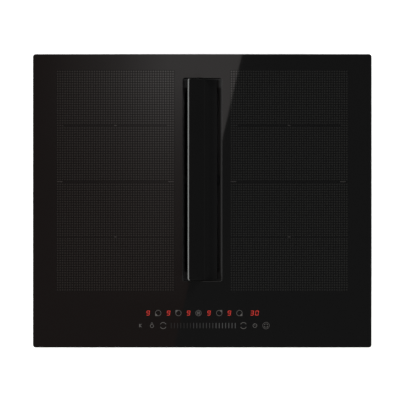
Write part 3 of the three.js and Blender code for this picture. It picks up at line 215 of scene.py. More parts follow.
def principled(name, colour, roughness, metallic=0.0, **sockets):
    """A principled material with its constants on the shader's own sockets."""
    made, tree, output = new_material(name)
    shader = add(tree, "ShaderNodeBsdfPrincipled")
    shader.inputs["Base Color"].default_value = linear(colour)
    shader.inputs["Roughness"].default_value = roughness
    shader.inputs["Metallic"].default_value = metallic
    for key, value in sockets.items():
        shader.inputs[key.replace("_", " ")].default_value = value
    tree.links.new(shader.outputs["BSDF"], output.inputs["Surface"])
    return made, tree, shader


def place(tree, stretch=(1, 1, 1)):
    """Object coordinates in millimetres, stretched along each axis."""
    where = add(tree, "ShaderNodeTexCoord").outputs["Object"]
    scale = [1000 * s for s in stretch]
    return add(tree, "ShaderNodeMapping", inputs={"Vector": where, "Scale": scale}).outputs["Vector"]


def place_on(tree, axis):
    """The place along one object axis, in millimetres."""
    return add(tree, "ShaderNodeSeparateXYZ", place(tree)).outputs[axis]


def share(tree, value, low, high):
    """How far a value has come from low to high, from 0 to 1."""
    return add(tree, "ShaderNodeMapRange", value, low, high, 0, 1).outputs["Result"]


def away(tree, axis, plane):
    """Distance from a plane across one object axis, in millimetres, always positive."""
    offset = add(tree, "ShaderNodeMath", place_on(tree, axis), plane, operation="SUBTRACT")
    return add(tree, "ShaderNodeMath", offset.outputs["Value"], operation="ABSOLUTE").outputs["Value"]


def product(tree, first, *others):
    """The product of values or sockets."""
    for other in others:
        first = add(tree, "ShaderNodeMath", first, other, operation="MULTIPLY").outputs["Value"]
    return first


def noise(tree, size, detail=3.0, stretch=(1, 1, 1)):
    """Noise whose cells are about size millimetres across."""
    inputs = {"Vector": place(tree, stretch), "Scale": 1 / size, "Detail": detail}
    return add(tree, "ShaderNodeTexNoise", inputs=inputs).outputs["Fac"]


def vary(tree, shader, socket, pattern, low, high, source=(0.3, 0.7)):
    """Moves a shader's socket between low and high, as a pattern moves over its source range."""
    level = add(tree, "ShaderNodeMapRange", pattern, *source, low, high)
    tree.links.new(level.outputs["Result"], shader.inputs[socket])


def relief(tree, shader, pattern, depth, strength=1.0):
    """A surface relief of depth millimetres that follows a pattern."""
    inputs = {"Height": pattern, "Strength": strength, "Distance": depth * MM}
    tree.links.new(add(tree, "ShaderNodeBump", inputs=inputs).outputs["Normal"], shader.inputs["Normal"])


def grain(tree, shader, size, depth):
    """A fine uneven relief with cells of about size millimetres."""
    relief(tree, shader, noise(tree, size, 2.0), depth, 0.6)


def tint(tree, shader, value, *stops):
    """Colours the base through a ramp of (position, hex) stops."""
    colour = add(tree, "ShaderNodeValToRGB", value, stops=stops).outputs["Color"]
    tree.links.new(colour, shader.inputs["Base Color"])


# ---------------------------------------------------------------- materials


def black_glass_ceramic():
    """Glass ceramic coated black underneath: nearly black, under a mirror surface with faint smears."""
    made, tree, shader = principled("black_glass_ceramic", "#0F0F0F", 0.025)
    vary(tree, shader, "Roughness", noise(tree, 35, 4), 0.018, 0.034)
    return made


def ground_glass_edge(name, colour):
    """Ground and fire-polished glass edge: light caught in the edge makes a thin paler line."""
    made, tree, shader = principled(name, colour, 0.3)
    grain(tree, shader, 0.8, 0.02)
    return made


def cutout_edge():
    """Ground edge of the cut-out: polished dark at the ends, with a painted highlight along both sides:
    paler facets, palest on the right, that stand in for the light the chamfers catch.
    """
    made, tree, shader = principled("ground_cutout_edge_painted_highlight", "#1B1A19", 0.3)
    across = share(tree, place_on(tree, "X"), -CUTOUT_HALF, CUTOUT_HALF)
    # painted highlight: the side facets paler than the middle, more so on the right
    tint(tree, shader, across, (0.0, "#2E2E2E"), (0.05, "#1B1A19"), (0.95, "#1B1A19"), (1.0, "#3C3C3C"))
    grain(tree, shader, 0.8, 0.02)
    return made


def glass_with_painted_glow():
    """The flap's black glass, whose face also glows faintly: a painted veil of stray light, more at its low
    side.
    """
    made, tree, shader = principled("black_glass_painted_glow", "#0A0A0A", 0.05, Emission_Color=(1, 1, 1, 1))
    # painted glow: an even faint emission over the face, and more of it towards the flap's low side
    even_glow = add(tree, "ShaderNodeMapRange", noise(tree, 60), 0.3, 0.7, 0.0024, 0.0028)
    low_side = add(tree, "ShaderNodeMapRange", place_on(tree, "X"), *FLAP_PAINTED_GLOW, 0, 0.0034)
    both = add(tree, "ShaderNodeMath", even_glow.outputs["Result"], low_side.outputs["Result"], operation="ADD")
    tree.links.new(both.outputs["Value"], shader.inputs["Emission Strength"])
    return made


def insert_plastic():
    """Moulded black insert with painted light and shade: painted shade deep in the slot, painted highlights
    along its rims, and a painted glow of stray light at its ends. The painted light at the ends is paler
    away from the flap's low side, and more so at the rear."""
    settings = dict(Specular_IOR_Level=0.3, Emission_Color=(1, 1, 1, 1))
    made, tree, shader = principled("moulded_insert_painted_light", "#0B0B0B", 0.5, **settings)
    # painted highlights on both rims, and painted shade in the slot between them, darkest near the left rim
    left_rim = ((0.0, "#3E3E3E"), (0.02, "#343434"), (0.042, "#171717"), (0.07, "#020202"))
    right_rim = ((0.88, "#0B0B0B"), (0.945, "#0B0B0B"), (1.0, "#2A2A2A"))
    across = share(tree, place_on(tree, "X"), -CUTOUT_HALF, CUTOUT_HALF)
    dark = add(tree, "ShaderNodeValToRGB", across, stops=left_rim + right_rim).outputs["Color"]
    to_middle = away(tree, "Y", FLAP.y)
    low_side = away(tree, "X", CUTOUT_HALF)
    open_side = add(tree, "ShaderNodeMapRange", low_side, *INSERT_OPEN_SIDE, 0.3, 1).outputs["Result"]
    front_to_rear = (FLAP.y - CUTOUT_HALF, FLAP.y + CUTOUT_HALF)
    rear = add(tree, "ShaderNodeMapRange", place_on(tree, "Y"), *front_to_rear, 0.4, 1).outputs["Result"]
    # painted light on the end walls, paler away from the flap's low side and towards the rear
    painted_end_light = product(tree, share(tree, to_middle, *INSERT_ENDS), open_side, rear)
    inputs = {"Factor": painted_end_light, "A": dark, "B": linear("#565656")}
    mixed = add(tree, "ShaderNodeMix", data_type="RGBA", inputs=inputs)
    tree.links.new(mixed.outputs["Result"], shader.inputs["Base Color"])
    # painted glow of stray light at the very ends
    stray = product(tree, share(tree, to_middle, *INSERT_TIPS), rear, 0.013)
    tree.links.new(stray, shader.inputs["Emission Strength"])
    grain(tree, shader, 0.7, 0.05)
    return made


def enamel_print(name, colour):
    """Fired grey enamel: glossy dots and dashes paler than the glass, which also mirror more strongly."""
    made, tree, shader = principled(name, colour, 0.03, IOR=1.7)
    vary(tree, shader, "Roughness", noise(tree, 6), 0.022, 0.038)
    return made


def matt_print():
    """Matt black enamel in fine lines between the dots: they cut the mirror, so the dots read as a grid."""
    made, tree, shader = principled("matt_black_enamel", "#0F0F0F", 0.9, Specular_IOR_Level=0)
    tint(tree, shader, noise(tree, 20), (0.3, "#0E0E0E"), (0.7, "#101010"))
    return made


def lit_display(name, colour, strength):
    """Light-emitting segment or icon behind glass: glows evenly, with slightly brighter spots."""
    made, tree, shader = principled(name, "#080808", 0.3, Emission_Color=linear(colour))
    vary(tree, shader, "Emission Strength", noise(tree, 2, 1.0), 0.9 * strength, 1.1 * strength)
    return made


def moulded_plastic(name, colour, dark, roughness=0.42):
    """Injection-moulded flame-retardant plastic: a fine spark-eroded grain and slightly uneven gloss."""
    made, tree, shader = principled(name, colour, roughness)
    tint(tree, shader, noise(tree, 60), (0.35, dark), (0.65, colour))
    vary(tree, shader, "Roughness", noise(tree, 14), roughness - 0.05, roughness + 0.08)
    grain(tree, shader, 0.7, 0.05)
    return made


def galvanised_steel():
    """Zinc-coated sheet steel: crystal spangles of slightly different greys and gloss."""
    made, tree, shader = principled("galvanised_steel", "#A9ADB0", 0.38, 0.95)
    cells = add(tree, "ShaderNodeTexVoronoi", inputs={"Vector": place(tree), "Scale": 1 / 9})
    spangle = add(tree, "ShaderNodeSeparateColor", cells.outputs["Color"]).outputs["Red"]
    tint(tree, shader, spangle, (0.0, "#9EA3A7"), (1.0, "#B9BDBF"))
    vary(tree, shader, "Roughness", spangle, 0.33, 0.5, (0, 1))
    return made


def powder_coated_steel():
    """Black powder coat on sheet steel: satin with a fine orange-peel waviness."""
    made, tree, shader = principled("powder_coated_steel", "#1B1C1D", 0.45)
    tint(tree, shader, noise(tree, 80), (0.3, "#191A1B"), (0.7, "#1F2021"))
    grain(tree, shader, 1.4, 0.06)
    return made


def drawn_metal(name, colour, dark, roughness, stretch, size=0.9):
    """Rolled or extruded metal: fine lines along the way it was drawn."""
    made, tree, shader = principled(name, colour, roughness, 1.0)
    lines = noise(tree, size, 3.0, stretch)
    tint(tree, shader, lines, (0.3, dark), (0.7, colour))
    vary(tree, shader, "Roughness", lines, roughness - 0.07, roughness + 0.09)
    return made


def copper_litz():
    """Enamelled copper strand wound flat: close turns that show as fine ridges."""
    made, tree, shader = principled("copper_litz", "#A4552B", 0.34, 1.0)
    inputs = {"Vector": place(tree), "Scale": 1 / 18, "Distortion": 2.0}
    turns = add(tree, "ShaderNodeTexWave", inputs=inputs).outputs["Fac"]
    tint(tree, shader, turns, (0.0, "#7E3E1E"), (1.0, "#C06A38"))
    relief(tree, shader, turns, 0.4)
    return made


def pressed_sheet(name, colour, dark, roughness, size, depth):
    """Pressed or sintered sheet, such as mica, ferrite or foam: flecks of two shades and a soft relief."""
    made, tree, shader = principled(name, colour, roughness)
    tint(tree, shader, noise(tree, size, 5.0), (0.35, dark), (0.65, colour))
    grain(tree, shader, size / 3, depth)
    return made


def filter_enamel():
    """Black enamel on the filter frame, under painted shade: deep black under the flap's raised side,
    lighter and satin at its low side.
    """
    made, tree, shader = principled("filter_frame_enamel_painted_shade", "#0C0C0C", 0.5)
    across = share(tree, place_on(tree, "X"), *FILTER_PAINTED_SHADE)
    # painted shade: darkest under the flap's raised side, lightest at its low side
    tint(tree, shader, across, (0.0, "#010101"), (0.5, "#101010"), (1.0, "#181818"))
    vary(tree, shader, "Specular IOR Level", across, 0.02, 0.5, (0, 1))
    return made


def woven_filter_mesh_painted_shade():
    """Knitted aluminium wire: bright crossings over dark gaps, under painted shade that is darkest under
    the flap's raised side.
    """
    made, tree, shader = principled("woven_filter_mesh_painted_shade", "#9B9EA0", 0.36, 1.0)
    waves = []
    for way in ("Y", "Z"):
        inputs = {"Vector": place(tree), "Scale": 1 / 12}
        waves.append(add(tree, "ShaderNodeTexWave", bands_direction=way, inputs=inputs).outputs["Fac"])
    wires = add(tree, "ShaderNodeMath", *waves, operation="MAXIMUM").outputs["Value"]
    wire = add(tree, "ShaderNodeValToRGB", wires, stops=((0.55, "#212223"), (0.95, "#797C7F")))
    across = share(tree, place_on(tree, "X"), *FILTER_PAINTED_SHADE)
    # painted shade across the filter: darkest under the flap's raised side, lifting to full at its low side
    stops = ((0.0, "#0A0A0A"), (0.15, "#BBBBBB"), (0.85, "#BBBBBB"), (1.0, "#FFFFFF"))
    side = add(tree, "ShaderNodeValToRGB", across, stops=stops)
    inputs = {"Factor": 1.0, "A": wire.outputs["Color"], "B": side.outputs["Color"]}
    mixed = add(tree, "ShaderNodeMix", data_type="RGBA", blend_type="MULTIPLY", inputs=inputs)
    tree.links.new(mixed.outputs["Result"], shader.inputs["Base Color"])
    relief(tree, shader, wires, 0.5)
    return made


GLASS_FACE = black_glass_ceramic()
FLAP_FACE = glass_with_painted_glow()
RIM_EDGE = ground_glass_edge("ground_rim_edge", "#1B1A19")
CUTOUT_EDGE = cutout_edge()
# pale grey: a painted highlight of the light that the flap's raised edge catches
FLAP_EDGE = ground_glass_edge("ground_flap_edge_painted_highlight", "#6E706F")
DOT_ENAMEL = enamel_print("fired_grey_enamel", "#1D1D1C")
MARK_ENAMEL = enamel_print("fired_pale_enamel", "#272625")
LINE_ENAMEL = matt_print()
RED_SEGMENTS = lit_display("red_segments", "#FF5048", 0.74)
RED_GLOW = lit_display("red_glow", "#FF1408", 0.014)
GREY_ICONS = lit_display("grey_icons", "#8A8784", 0.37)
SCREW_STEEL = drawn_metal("zinc_plated_screw", "#B5B8BA", "#8E9294", 0.3, (1, 1, 1), 3)
FILTER_MESH = woven_filter_mesh_painted_shade()

FINISHES = {
    "black_glass": GLASS_FACE,
    "black_plastic": moulded_plastic("black_polypropylene", "#1A1A1B", "#141415"),
    "grey_plastic": moulded_plastic("grey_polypropylene", "#5E6265", "#54585B"),
    "foam_seal": pressed_sheet("closed_cell_foam", "#26272A", "#1C1D1F", 0.85, 1.2, 0.15),
    "galvanised_steel": galvanised_steel(),
    "black_steel": powder_coated_steel(),
    "aluminium": drawn_metal("rolled_aluminium", "#C2C4C6", "#A9ACAE", 0.34, (1, 0.05, 1)),
    "stainless": drawn_metal("stainless_steel", "#B9B7B3", "#9C9A96", 0.28, (0.05, 1, 1)),
    "copper_winding": copper_litz(),
    "ferrite": pressed_sheet("ferrite_and_former", "#2E2D2F", "#222123", 0.6, 2.5, 0.05),
    "mica": pressed_sheet("mica_sheet", "#B9A98A", "#9D8D70", 0.5, 5, 0.05),
    "circuit_board": pressed_sheet("circuit_board", "#23533A", "#1B4430", 0.4, 9, 0.02),
    "rubber": pressed_sheet("rubber", "#191919", "#131313", 0.75, 1.5, 0.05),
    "display_plastic": moulded_plastic("smoked_polycarbonate", "#0D0D0E", "#0A0A0B", 0.25),
}
OWN_FINISHES = {
    "filter_mesh_left": FILTER_MESH,
    "filter_mesh_right": FILTER_MESH,
    "filter_frame": filter_enamel(),
    "flap_insert": insert_plastic(),
}


# ---------------------------------------------------------------- geometry helpers


def mesh_object(name, shape, *materials):
    """A bmesh in millimetres as a named object in metres, smooth except over sharp edges."""
    bmesh.ops.scale(shape, verts=shape.verts, vec=(MM, MM, MM))
    mesh = bpy.data.meshes.new(name)
    shape.to_mesh(mesh)
    shape.free()
    mesh.shade_smooth()
    mesh.set_sharp_from_angle(angle=math.radians(30))
    for material in materials:
        mesh.materials.append(material)
    made = bpy.data.objects.new(name, mesh)
    bpy.context.scene.collection.objects.link(made)
    return made


def rounded_loop(width, depth, radius, steps=6):
    """Points round a rectangle with round corners, about the origin."""
    points = []
    for quarter, (sx, sy) in enumerate(((1, 1), (-1, 1), (-1, -1), (1, -1))):
        for step in range(steps + 1):
            angle = (quarter + step / steps) * FULL_TURN / 4
            x = sx * (width / 2 - radius) + radius * math.cos(angle)
            y = sy * (depth / 2 - radius) + radius * math.sin(angle)
            points.append((x, y))
    return points


def bands(shape, loops, slots):
    """Joins each loop of vertices to the next by a band of faces with one material slot each."""
    for low, high, slot in zip(loops, loops[1:], slots):
        for i in range(len(low)):
            j = (i + 1) % len(low)
            shape.faces.new((low[i], low[j], high[j], high[i])).material_index = slot


def rings(shape, outline, levels, centre_y, slots):
    """Side faces of a pane: a ring of vertices for each (inset, height), joined by bands of faces."""
    made = []
    for inset, height in levels:
        loop = rounded_loop(outline[0] - 2 * inset, outline[1] - 2 * inset, outline[2] - inset)
        made.append([shape.verts.new((x, y + centre_y, height)) for x, y in loop])
    bands(shape, made, slots)
    return made[0], made[-1]


def cap(shape, *loops):
    """Fills the flat area between closed loops of vertices."""
    edges = []
    for loop in loops:
        for i, vert in enumerate(loop):
            pair = (vert, loop[(i + 1) % len(loop)])
            edges.append(shape.edges.get(pair) or shape.edges.new(pair))
    bmesh.ops.triangle_fill(shape, edges=edges, use_beauty=True)


def pane(size, bottom, top, bevel, under_bevel, hole=None):
    """A sheet of glass with bevelled edges, and a bevelled hole in it if one is given.
    Its material slots are the face, the bevels, the sides and the hole's edge."""
    shape = bmesh.new()
    levels = [(under_bevel, bottom), (0, bottom + under_bevel), (0, top - bevel), (bevel, top)]
    low, high = rings(shape, size, levels, 0, (1, 2, 1))
    lows, highs = [low], [high]
    if hole:
        levels = [(-inset, height) for inset, height in levels]
        outline = (hole["width"], hole["depth"], hole["corner"])
        low, high = rings(shape, outline, levels, hole["centre_y"], (1, 1, 3))
        lows.append(low)
        highs.append(high)
    cap(shape, *lows)
    cap(shape, *highs)
    bmesh.ops.recalc_face_normals(shape, faces=shape.faces)
    return shape


def polygon(shape, points, height):
    """A flat face through points at one height, facing up."""
    face = shape.faces.new([shape.verts.new((x, y, height)) for x, y in points])
    face.normal_update()
    if face.normal.z < 0:
        face.normal_flip()


def bar(shape, x, y, width, depth, height, slant=0.0):
    """An upright rectangle print, leaning to the right by slant times its distance from the middle."""
    corners = ((-1, -1), (1, -1), (1, 1), (-1, 1))
    half_width, half_depth = width / 2, depth / 2
    points = [(x + sx * half_width + slant * sy * half_depth, y + sy * half_depth) for sx, sy in corners]
    polygon(shape, points, height)


def arc(shape, x, y, radius, line, start, end, height, steps=20):
    """A printed arc from start to end degrees, anticlockwise."""
    for i in range(steps):
        a, b = (math.radians(start + (end - start) * (i + k) / steps) for k in (0, 1))
        inner, outer = radius - line / 2, radius + line / 2
        polar = ((inner, a), (outer, a), (outer, b), (inner, b))
        polygon(shape, [(x + r * math.cos(t), y + r * math.sin(t)) for r, t in polar], height)


def disc(shape, x, y, radius, height, sides=8):
    """A printed dot."""
    turns = [FULL_TURN * i / sides for i in range(sides)]
    polygon(shape, [(x + radius * math.cos(t), y + radius * math.sin(t)) for t in turns], height)


def repeat_group():
    """Geometry nodes that put a copy of an object on every vertex, then give it a material."""
    group = bpy.data.node_groups.new("repeat_on_points", "GeometryNodeTree")
    face = group.interface
    face.new_socket("Points", in_out="INPUT", socket_type="NodeSocketGeometry")
    face.new_socket("Unit", in_out="INPUT", socket_type="NodeSocketObject")
    face.new_socket("Material", in_out="INPUT", socket_type="NodeSocketMaterial")
    face.new_socket("Copies", in_out="OUTPUT", socket_type="NodeSocketGeometry")
    given = add(group, "NodeGroupInput").outputs
    unit = add(group, "GeometryNodeObjectInfo", inputs={"Object": given["Unit"]})
    inputs = {"Points": given["Points"], "Instance": unit.outputs["Geometry"]}
    copies = add(group, "GeometryNodeInstanceOnPoints", inputs=inputs)
    real = add(group, "GeometryNodeRealizeInstances", inputs={"Geometry": copies.outputs["Instances"]})
    inputs = {"Geometry": real.outputs["Geometry"], "Material": given["Material"]}
    finished = add(group, "GeometryNodeSetMaterial", inputs=inputs)
    add(group, "NodeGroupOutput", inputs={"Copies": finished.outputs["Geometry"]})
    return group


REPEAT = repeat_group()


def repeat(name, unit, points, material, body):
    """Copies of a small bmesh on points in millimetres, as one plain mesh that rides on a body."""
    pattern = mesh_object(name + "_unit", unit, material)
    mesh = bpy.data.meshes.new(name + "_points")
    mesh.from_pydata([Vector(point) * MM for point in points], [], [])
    host = bpy.data.objects.new(name + "_host", mesh)
    bpy.context.scene.collection.objects.link(host)
    modifier = host.modifiers.new("repeat", "NODES")
    modifier.node_group = REPEAT
    sockets = {s.name: s.identifier for s in REPEAT.interface.items_tree if s.in_out == "INPUT"}
    modifier[sockets["Unit"]] = pattern
    modifier[sockets["Material"]] = material
    graph = bpy.context.evaluated_depsgraph_get()
    graph.update()
    real = bpy.data.meshes.new_from_object(host.evaluated_get(graph))
    real.name = name
    made = bpy.data.objects.new(name, real)
    bpy.context.scene.collection.objects.link(made)
    bpy.data.objects.remove(host)
    bpy.data.objects.remove(pattern)
    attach(made, body)


# ---------------------------------------------------------------- the two panes


def finish_cad_nodes():
    """Gives each CAD node its own finish, or else that of its material slot."""
    for row in frame["record"]["subparts"]:
        node = frame["nodes"][row["node"]]
        node.data.materials.clear()
        node.data.materials.append(OWN_FINISHES.get(row["node"], FINISHES[row["material_slot"]]))


def glass_top():
    """The glass ceramic with its bevelled rim, and its cut-out as wide as in the photo."""
    size = (GLASS.width, GLASS.depth, GLASS_CORNER)
    shape = pane(size, GLASS.bottom, GLASS.top, GLASS_BEVEL, GLASS_BEVEL, CUTOUT)
    made = mesh_object("glass_pane", shape, GLASS_FACE, RIM_EDGE, RIM_EDGE, CUTOUT_EDGE)
    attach(made, "housing")
    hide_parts("glass_top")


def flap_glass():
    """The flap's pane, turned as in the photo about the line in the middle of its thickness."""
    half = PANE["thickness"] / 2
    size = (PANE["width"], FLAP.depth, PANE["corner"])
    shape = pane(size, -half, half, PANE["bevel"], PANE["under_bevel"])
    turn = Matrix.Translation((0, FLAP.y, FLAP.z)) @ Matrix.Rotation(math.radians(FLAP_TILT), 4, "Y")
    bmesh.ops.transform(shape, matrix=turn, verts=shape.verts)
    made = mesh_object("flap_pane", shape, FLAP_FACE, FLAP_FACE, FLAP_EDGE)
    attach(made, "flap")
    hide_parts("flap_glass")


# ---------------------------------------------------------------- the cooking fields


def row_place(row):
    """Where a dot row lies along Y: the rows beside a mark that lies between two rows stand off from it."""
    nudge = 0
    for mark in MARK_ROWS.values():
        if 0 < abs(mark - row) < 1:
            nudge = math.copysign(ROW_NUDGE, mark - row)
    return FIELD["rear_y"] - row * FIELD["pitch"] + nudge


def is_bare(row, column):
    """Whether a row has no dot here for its mark: the middle one has none, the rear one only end dots."""
    near_end = min(column, FIELD["columns"] - 1 - column) < REAR_MARK_COLUMNS
    return row == MARK_ROWS["middle"] or row == MARK_ROWS["rear"] and not near_end


def field_dots(side, name):
    """The dotted print of one cooking field."""
    start_x = side * FIELD["centre_x"] - (FIELD["columns"] - 1) * FIELD["pitch"] / 2
    points = []
    for row in range(FIELD["rows"]):
        for column in range(FIELD["columns"]):
            if not is_bare(row, column):
                points.append((start_x + column * FIELD["pitch"], row_place(row), PRINT))
    dot = bmesh.new()
    disc(dot, 0, 0, FIELD["dot"], 0)
    repeat(name, dot, points, DOT_ENAMEL, "housing")


def field_lines():
    """The fine matt lines between the dots of each field, along and across it."""
    shape = bmesh.new()
    pitch, line = FIELD["pitch"], FIELD["line"]
    width, depth = FIELD["columns"] * pitch, FIELD["rows"] * pitch
    y = FIELD["rear_y"] + (pitch - depth) / 2
    for side in (-1, 1):
        x = side * FIELD["centre_x"]
        for column in range(FIELD["columns"] + 1):
            bar(shape, x - width / 2 + column * pitch, y, line, depth, LOW_PRINT)
        for row in range(FIELD["rows"] + 1):
            bar(shape, x, y + depth / 2 - row * pitch, width, line, LOW_PRINT)
    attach(mesh_object("field_lines", shape, LINE_ENAMEL), "housing")


def field_marks():
    """A short dash in the middle of each zone, and two at the ends of the border between the zones."""
    shape = bmesh.new()
    half = (FIELD["columns"] - 1) * FIELD["pitch"] / 2
    for side in (-1, 1):
        x = side * FIELD["centre_x"]
        for name, row in MARK_ROWS.items():
            y = FIELD["rear_y"] - row * FIELD["pitch"]
            if name == "middle":
                left, right = END_DASH["insets"][side]
                for end in (x - half + left, x + half - right):
                    bar(shape, end, y + END_DASH["to_rear"], END_DASH["width"], END_DASH["depth"], PRINT)
            else:
                bar(shape, x, y, MIDDLE_DASH["width"], MIDDLE_DASH["depth"], PRINT)
    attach(mesh_object("field_marks", shape, MARK_ENAMEL), "housing")


# ---------------------------------------------------------------- the controls


def digit(shape, x, y, figure, height, swell=0.0):
    """A leaning seven-segment figure, whose segments are wider and longer by swell."""
    w, h, line, slant = DIGIT["width"], DIGIT["height"], DIGIT["line"], DIGIT["slant"]
    across, down = w - line - DIGIT["gap"], h / 2 - line / 2 - DIGIT["gap"]
    places = {
        "a": (0, (h - line) / 2, across, line),
        "g": (0, 0, across, line),
        "d": (0, (line - h) / 2, across, line),
        "f": ((line - w) / 2, h / 4, line, down),
        "b": ((w - line) / 2, h / 4, line, down),
        "e": ((line - w) / 2, -h / 4, line, down),
        "c": ((w - line) / 2, -h / 4, line, down),
    }
    for segment in SEGMENTS[figure]:
        dx, dy, width, depth = places[segment]
        bar(shape, x + dx + slant * dy, y + dy, width + swell, depth + swell, height, slant)


def digits():
    """The lit figures, each over a wider and much fainter copy: the light that spreads in the glass."""
    copies = (
        ("display_digits", RED_SEGMENTS, PRINT, 0),
        ("display_glow", RED_GLOW, LOW_PRINT, DIGIT["glow"]),
    )
    for name, light, height, swell in copies:
        shape = bmesh.new()
        for x, figure in DIGIT_PLACES:
            digit(shape, x, DIGIT["row"], figure, height, swell)
        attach(mesh_object(name, shape, light), "housing")


def zone_rings(shape):
    """A ring for each zone with its own corner filled, and a ring with fan blades for the extractor."""
    y, radius, line, gap, leg = DIGIT["row"], RING["radius"], RING["line"], RING["gap"], RING["leg"]
    for x, side, end in ZONE_RINGS:
        towards = math.degrees(math.atan2(end, side))
        arc(shape, x, y, radius, line, towards + gap, towards + 360 - gap, PRINT)
        tip_x, tip_y = x + side * RING["reach"], y + end * RING["reach"]
        polygon(shape, [(tip_x, tip_y), (tip_x - side * leg, tip_y), (tip_x, tip_y - end * leg)], PRINT)
    x, fan = FAN_RING["x"], FAN_RING
    arc(shape, x, y, radius, line, 0, 360, PRINT)
    for quarter in range(4):
        start = fan["first"] + 90 * quarter
        blade = (fan["blade_radius"], fan["blade_length"], start, start + fan["sweep"])
        arc(shape, x, y, *blade, PRINT, fan["steps"])


def keys(shape):
    """The keys beside the slider, and the two half rings at its ends."""
    for key in KEYS:
        for dx, dy, radius, line, start, end, steps in key.get("arcs", ()):
            arc(shape, key["x"] + dx, SLIDER["row"] + dy, radius, line, start, end, PRINT, steps)
        for dx, dy, width, depth, slant in key.get("bars", ()):
            bar(shape, key["x"] + dx, SLIDER["row"] + dy, width, depth, PRINT, slant)


def icons():
    """All grey icons, as one print."""
    shape = bmesh.new()
    zone_rings(shape)
    keys(shape)
    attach(mesh_object("control_icons", shape, GREY_ICONS), "housing")


def slider_bars():
    """Twenty-one lit bars, brighter from left to right."""
    for step, (name, shade) in enumerate(SLIDER_SHADES.items()):
        shape = bmesh.new()
        bar(shape, 0, 0, SLIDER["width"], SLIDER["depth"], 0)
        lit = lit_display("slider_light_" + name, shade, SLIDER["lit"])
        places = range(BARS_OF_A_SHADE * step, BARS_OF_A_SHADE * (step + 1))
        points = [(SLIDER["start"] + SLIDER["pitch"] * i, SLIDER["row"], PRINT) for i in places]
        repeat("slider_bars_" + name, shape, points, lit, "housing")


# ---------------------------------------------------------------- screws


def screw_head(radius, facing, sides=24):
    """A pan head with a hexagonal socket, its washer face on the origin and its top towards a direction."""
    shape = bmesh.new()
    height, socket = 0.7 * radius, 0.36 * radius
    # (radius of a ring, share of the height), and the rings without a radius follow the socket
    levels = ((radius, 0), (radius, 0.45), (0.72 * radius, 1), (None, 1), (None, 0.35))
    loops = []
    for ring, level in levels:
        loop = []
        for i in range(sides):
            angle = FULL_TURN * i / sides
            reach = ring or socket / math.cos(angle % (math.pi / 3) - math.pi / 6)
            loop.append(shape.verts.new((reach * math.cos(angle), reach * math.sin(angle), level * height)))
        loops.append(loop)
    bands(shape, loops, [0] * len(levels))
    shape.faces.new(loops[-1])
    shape.faces.new(loops[0][::-1])
    turn = Vector(facing).to_track_quat("Z", "Y").to_matrix().to_4x4()
    bmesh.ops.transform(shape, matrix=turn, verts=shape.verts)
    return shape


def screw_set(name, radius, facing, points):
    """Screws of one kind as one piece of the housing, with their heads facing one way."""
    repeat(name, screw_head(radius, facing), points, SCREW_STEEL, "housing")


def corners_of(node, inset, height):
    """The four corners of a CAD node's box, inset from its sides, at one height."""
    piece = box(node)
    dx, dy = piece.width / 2 - inset, piece.depth / 2 - inset
    return [(piece.x + sx * dx, piece.y + sy * dy, height) for sx in (-1, 1) for sy in (-1, 1)]


def rim_screws():
    """The screws that hold the lower housing by its rim under the tray."""
    rim, inset, places = box("lower_housing"), RIM_SCREW["inset"], RIM_SCREW["places"]
    under = rim.top - RIM_SCREW["rim"]
    points = [(rim.x + dx, y, under) for dx in places for y in (rim.front + inset, rim.rear - inset)]
    points += [(x, rim.y + dy, under) for x in (rim.left + inset, rim.right - inset) for dy in places]
    screw_set("housing_rim_screws", RIM_SCREW["radius"], (0, 0, -1), points)


def spigot_screws():
    """The screws round the flange of the outlet spigot."""
    spigot, up, sides = box("outlet_spigot"), SPIGOT_SCREW["up"], SPIGOT_SCREW["sides"]
    y = spigot.front + SPIGOT_SCREW["flange"]
    points = [(spigot.x + dx, y, spigot.z + dz) for dz in (-up, up) for dx in SPIGOT_SCREW["across"]]
    points += [(spigot.x + dx, y, spigot.z) for dx in (-sides, sides)]
    screw_set("spigot_screws", SPIGOT_SCREW["radius"], (0, 1, 0), points)


def clamp_screws(side, name):
    """The two screws of each clamp on one side of the tray."""
    points = []
    for clamp in (box(f"clamp_front_{name}"), box(f"clamp_rear_{name}")):
        face = min(abs(clamp.left), abs(clamp.right)) + CLAMP_SCREW["plate"]
        height = clamp.top - CLAMP_SCREW["below_top"]
        points += [(side * face, clamp.y + dy, height) for dy in CLAMP_SCREW["apart"]]
    screw_set("clamp_screws_" + name, CLAMP_SCREW["radius"], (side, 0, 0), points)


def inner_screws():
    """The screws at the corners of the boards and of the cooling fans, inside the tray."""
    points = []
    for board in BOARDS:
        points += corners_of(board, BOARD_SCREW["inset"], box(board).bottom + BOARD_SCREW["board"])
    screw_set("board_screws", BOARD_SCREW["radius"], (0, 0, 1), points)
    points = []
    for fan in ("cooling_fan_frame_left", "cooling_fan_frame_right"):
        points += corners_of(fan, FAN_SCREW["inset"], box(fan).top)
    screw_set("cooling_fan_screws", FAN_SCREW["radius"], (0, 0, 1), points)


# ---------------------------------------------------------------- light, floor and camera


def lamp(name, where, diameter, watts):
    """A round lamp that faces the object and isn't seen in its glass."""
    light = bpy.data.lights.new(name, "AREA")
    light.shape = "DISK"
    light.size = diameter
    light.energy = watts
    made = bpy.data.objects.new(name, light)
    made.location = where
    made.rotation_euler = (Vector(LAMP_TARGET) - Vector(where)).to_track_quat("-Z", "Y").to_euler()
    bpy.context.scene.collection.objects.link(made)
    made.visible_glossy = False


def only_mirrored(card):
    """Hides a card from everything but mirror rays."""
    card.visible_camera = False
    card.visible_diffuse = False
    card.visible_transmission = False
    card.visible_shadow = False


def fade(tree, value, steps):
    """A level from 0 to 1 along a value, through steps of (value, level)."""
    first, last = steps[0][0], steps[-1][0]
    stops = [((at - first) / (last - first), level) for at, level in steps]
    return add(tree, "ShaderNodeValToRGB", share(tree, value, first, last), stops=stops).outputs["Color"]


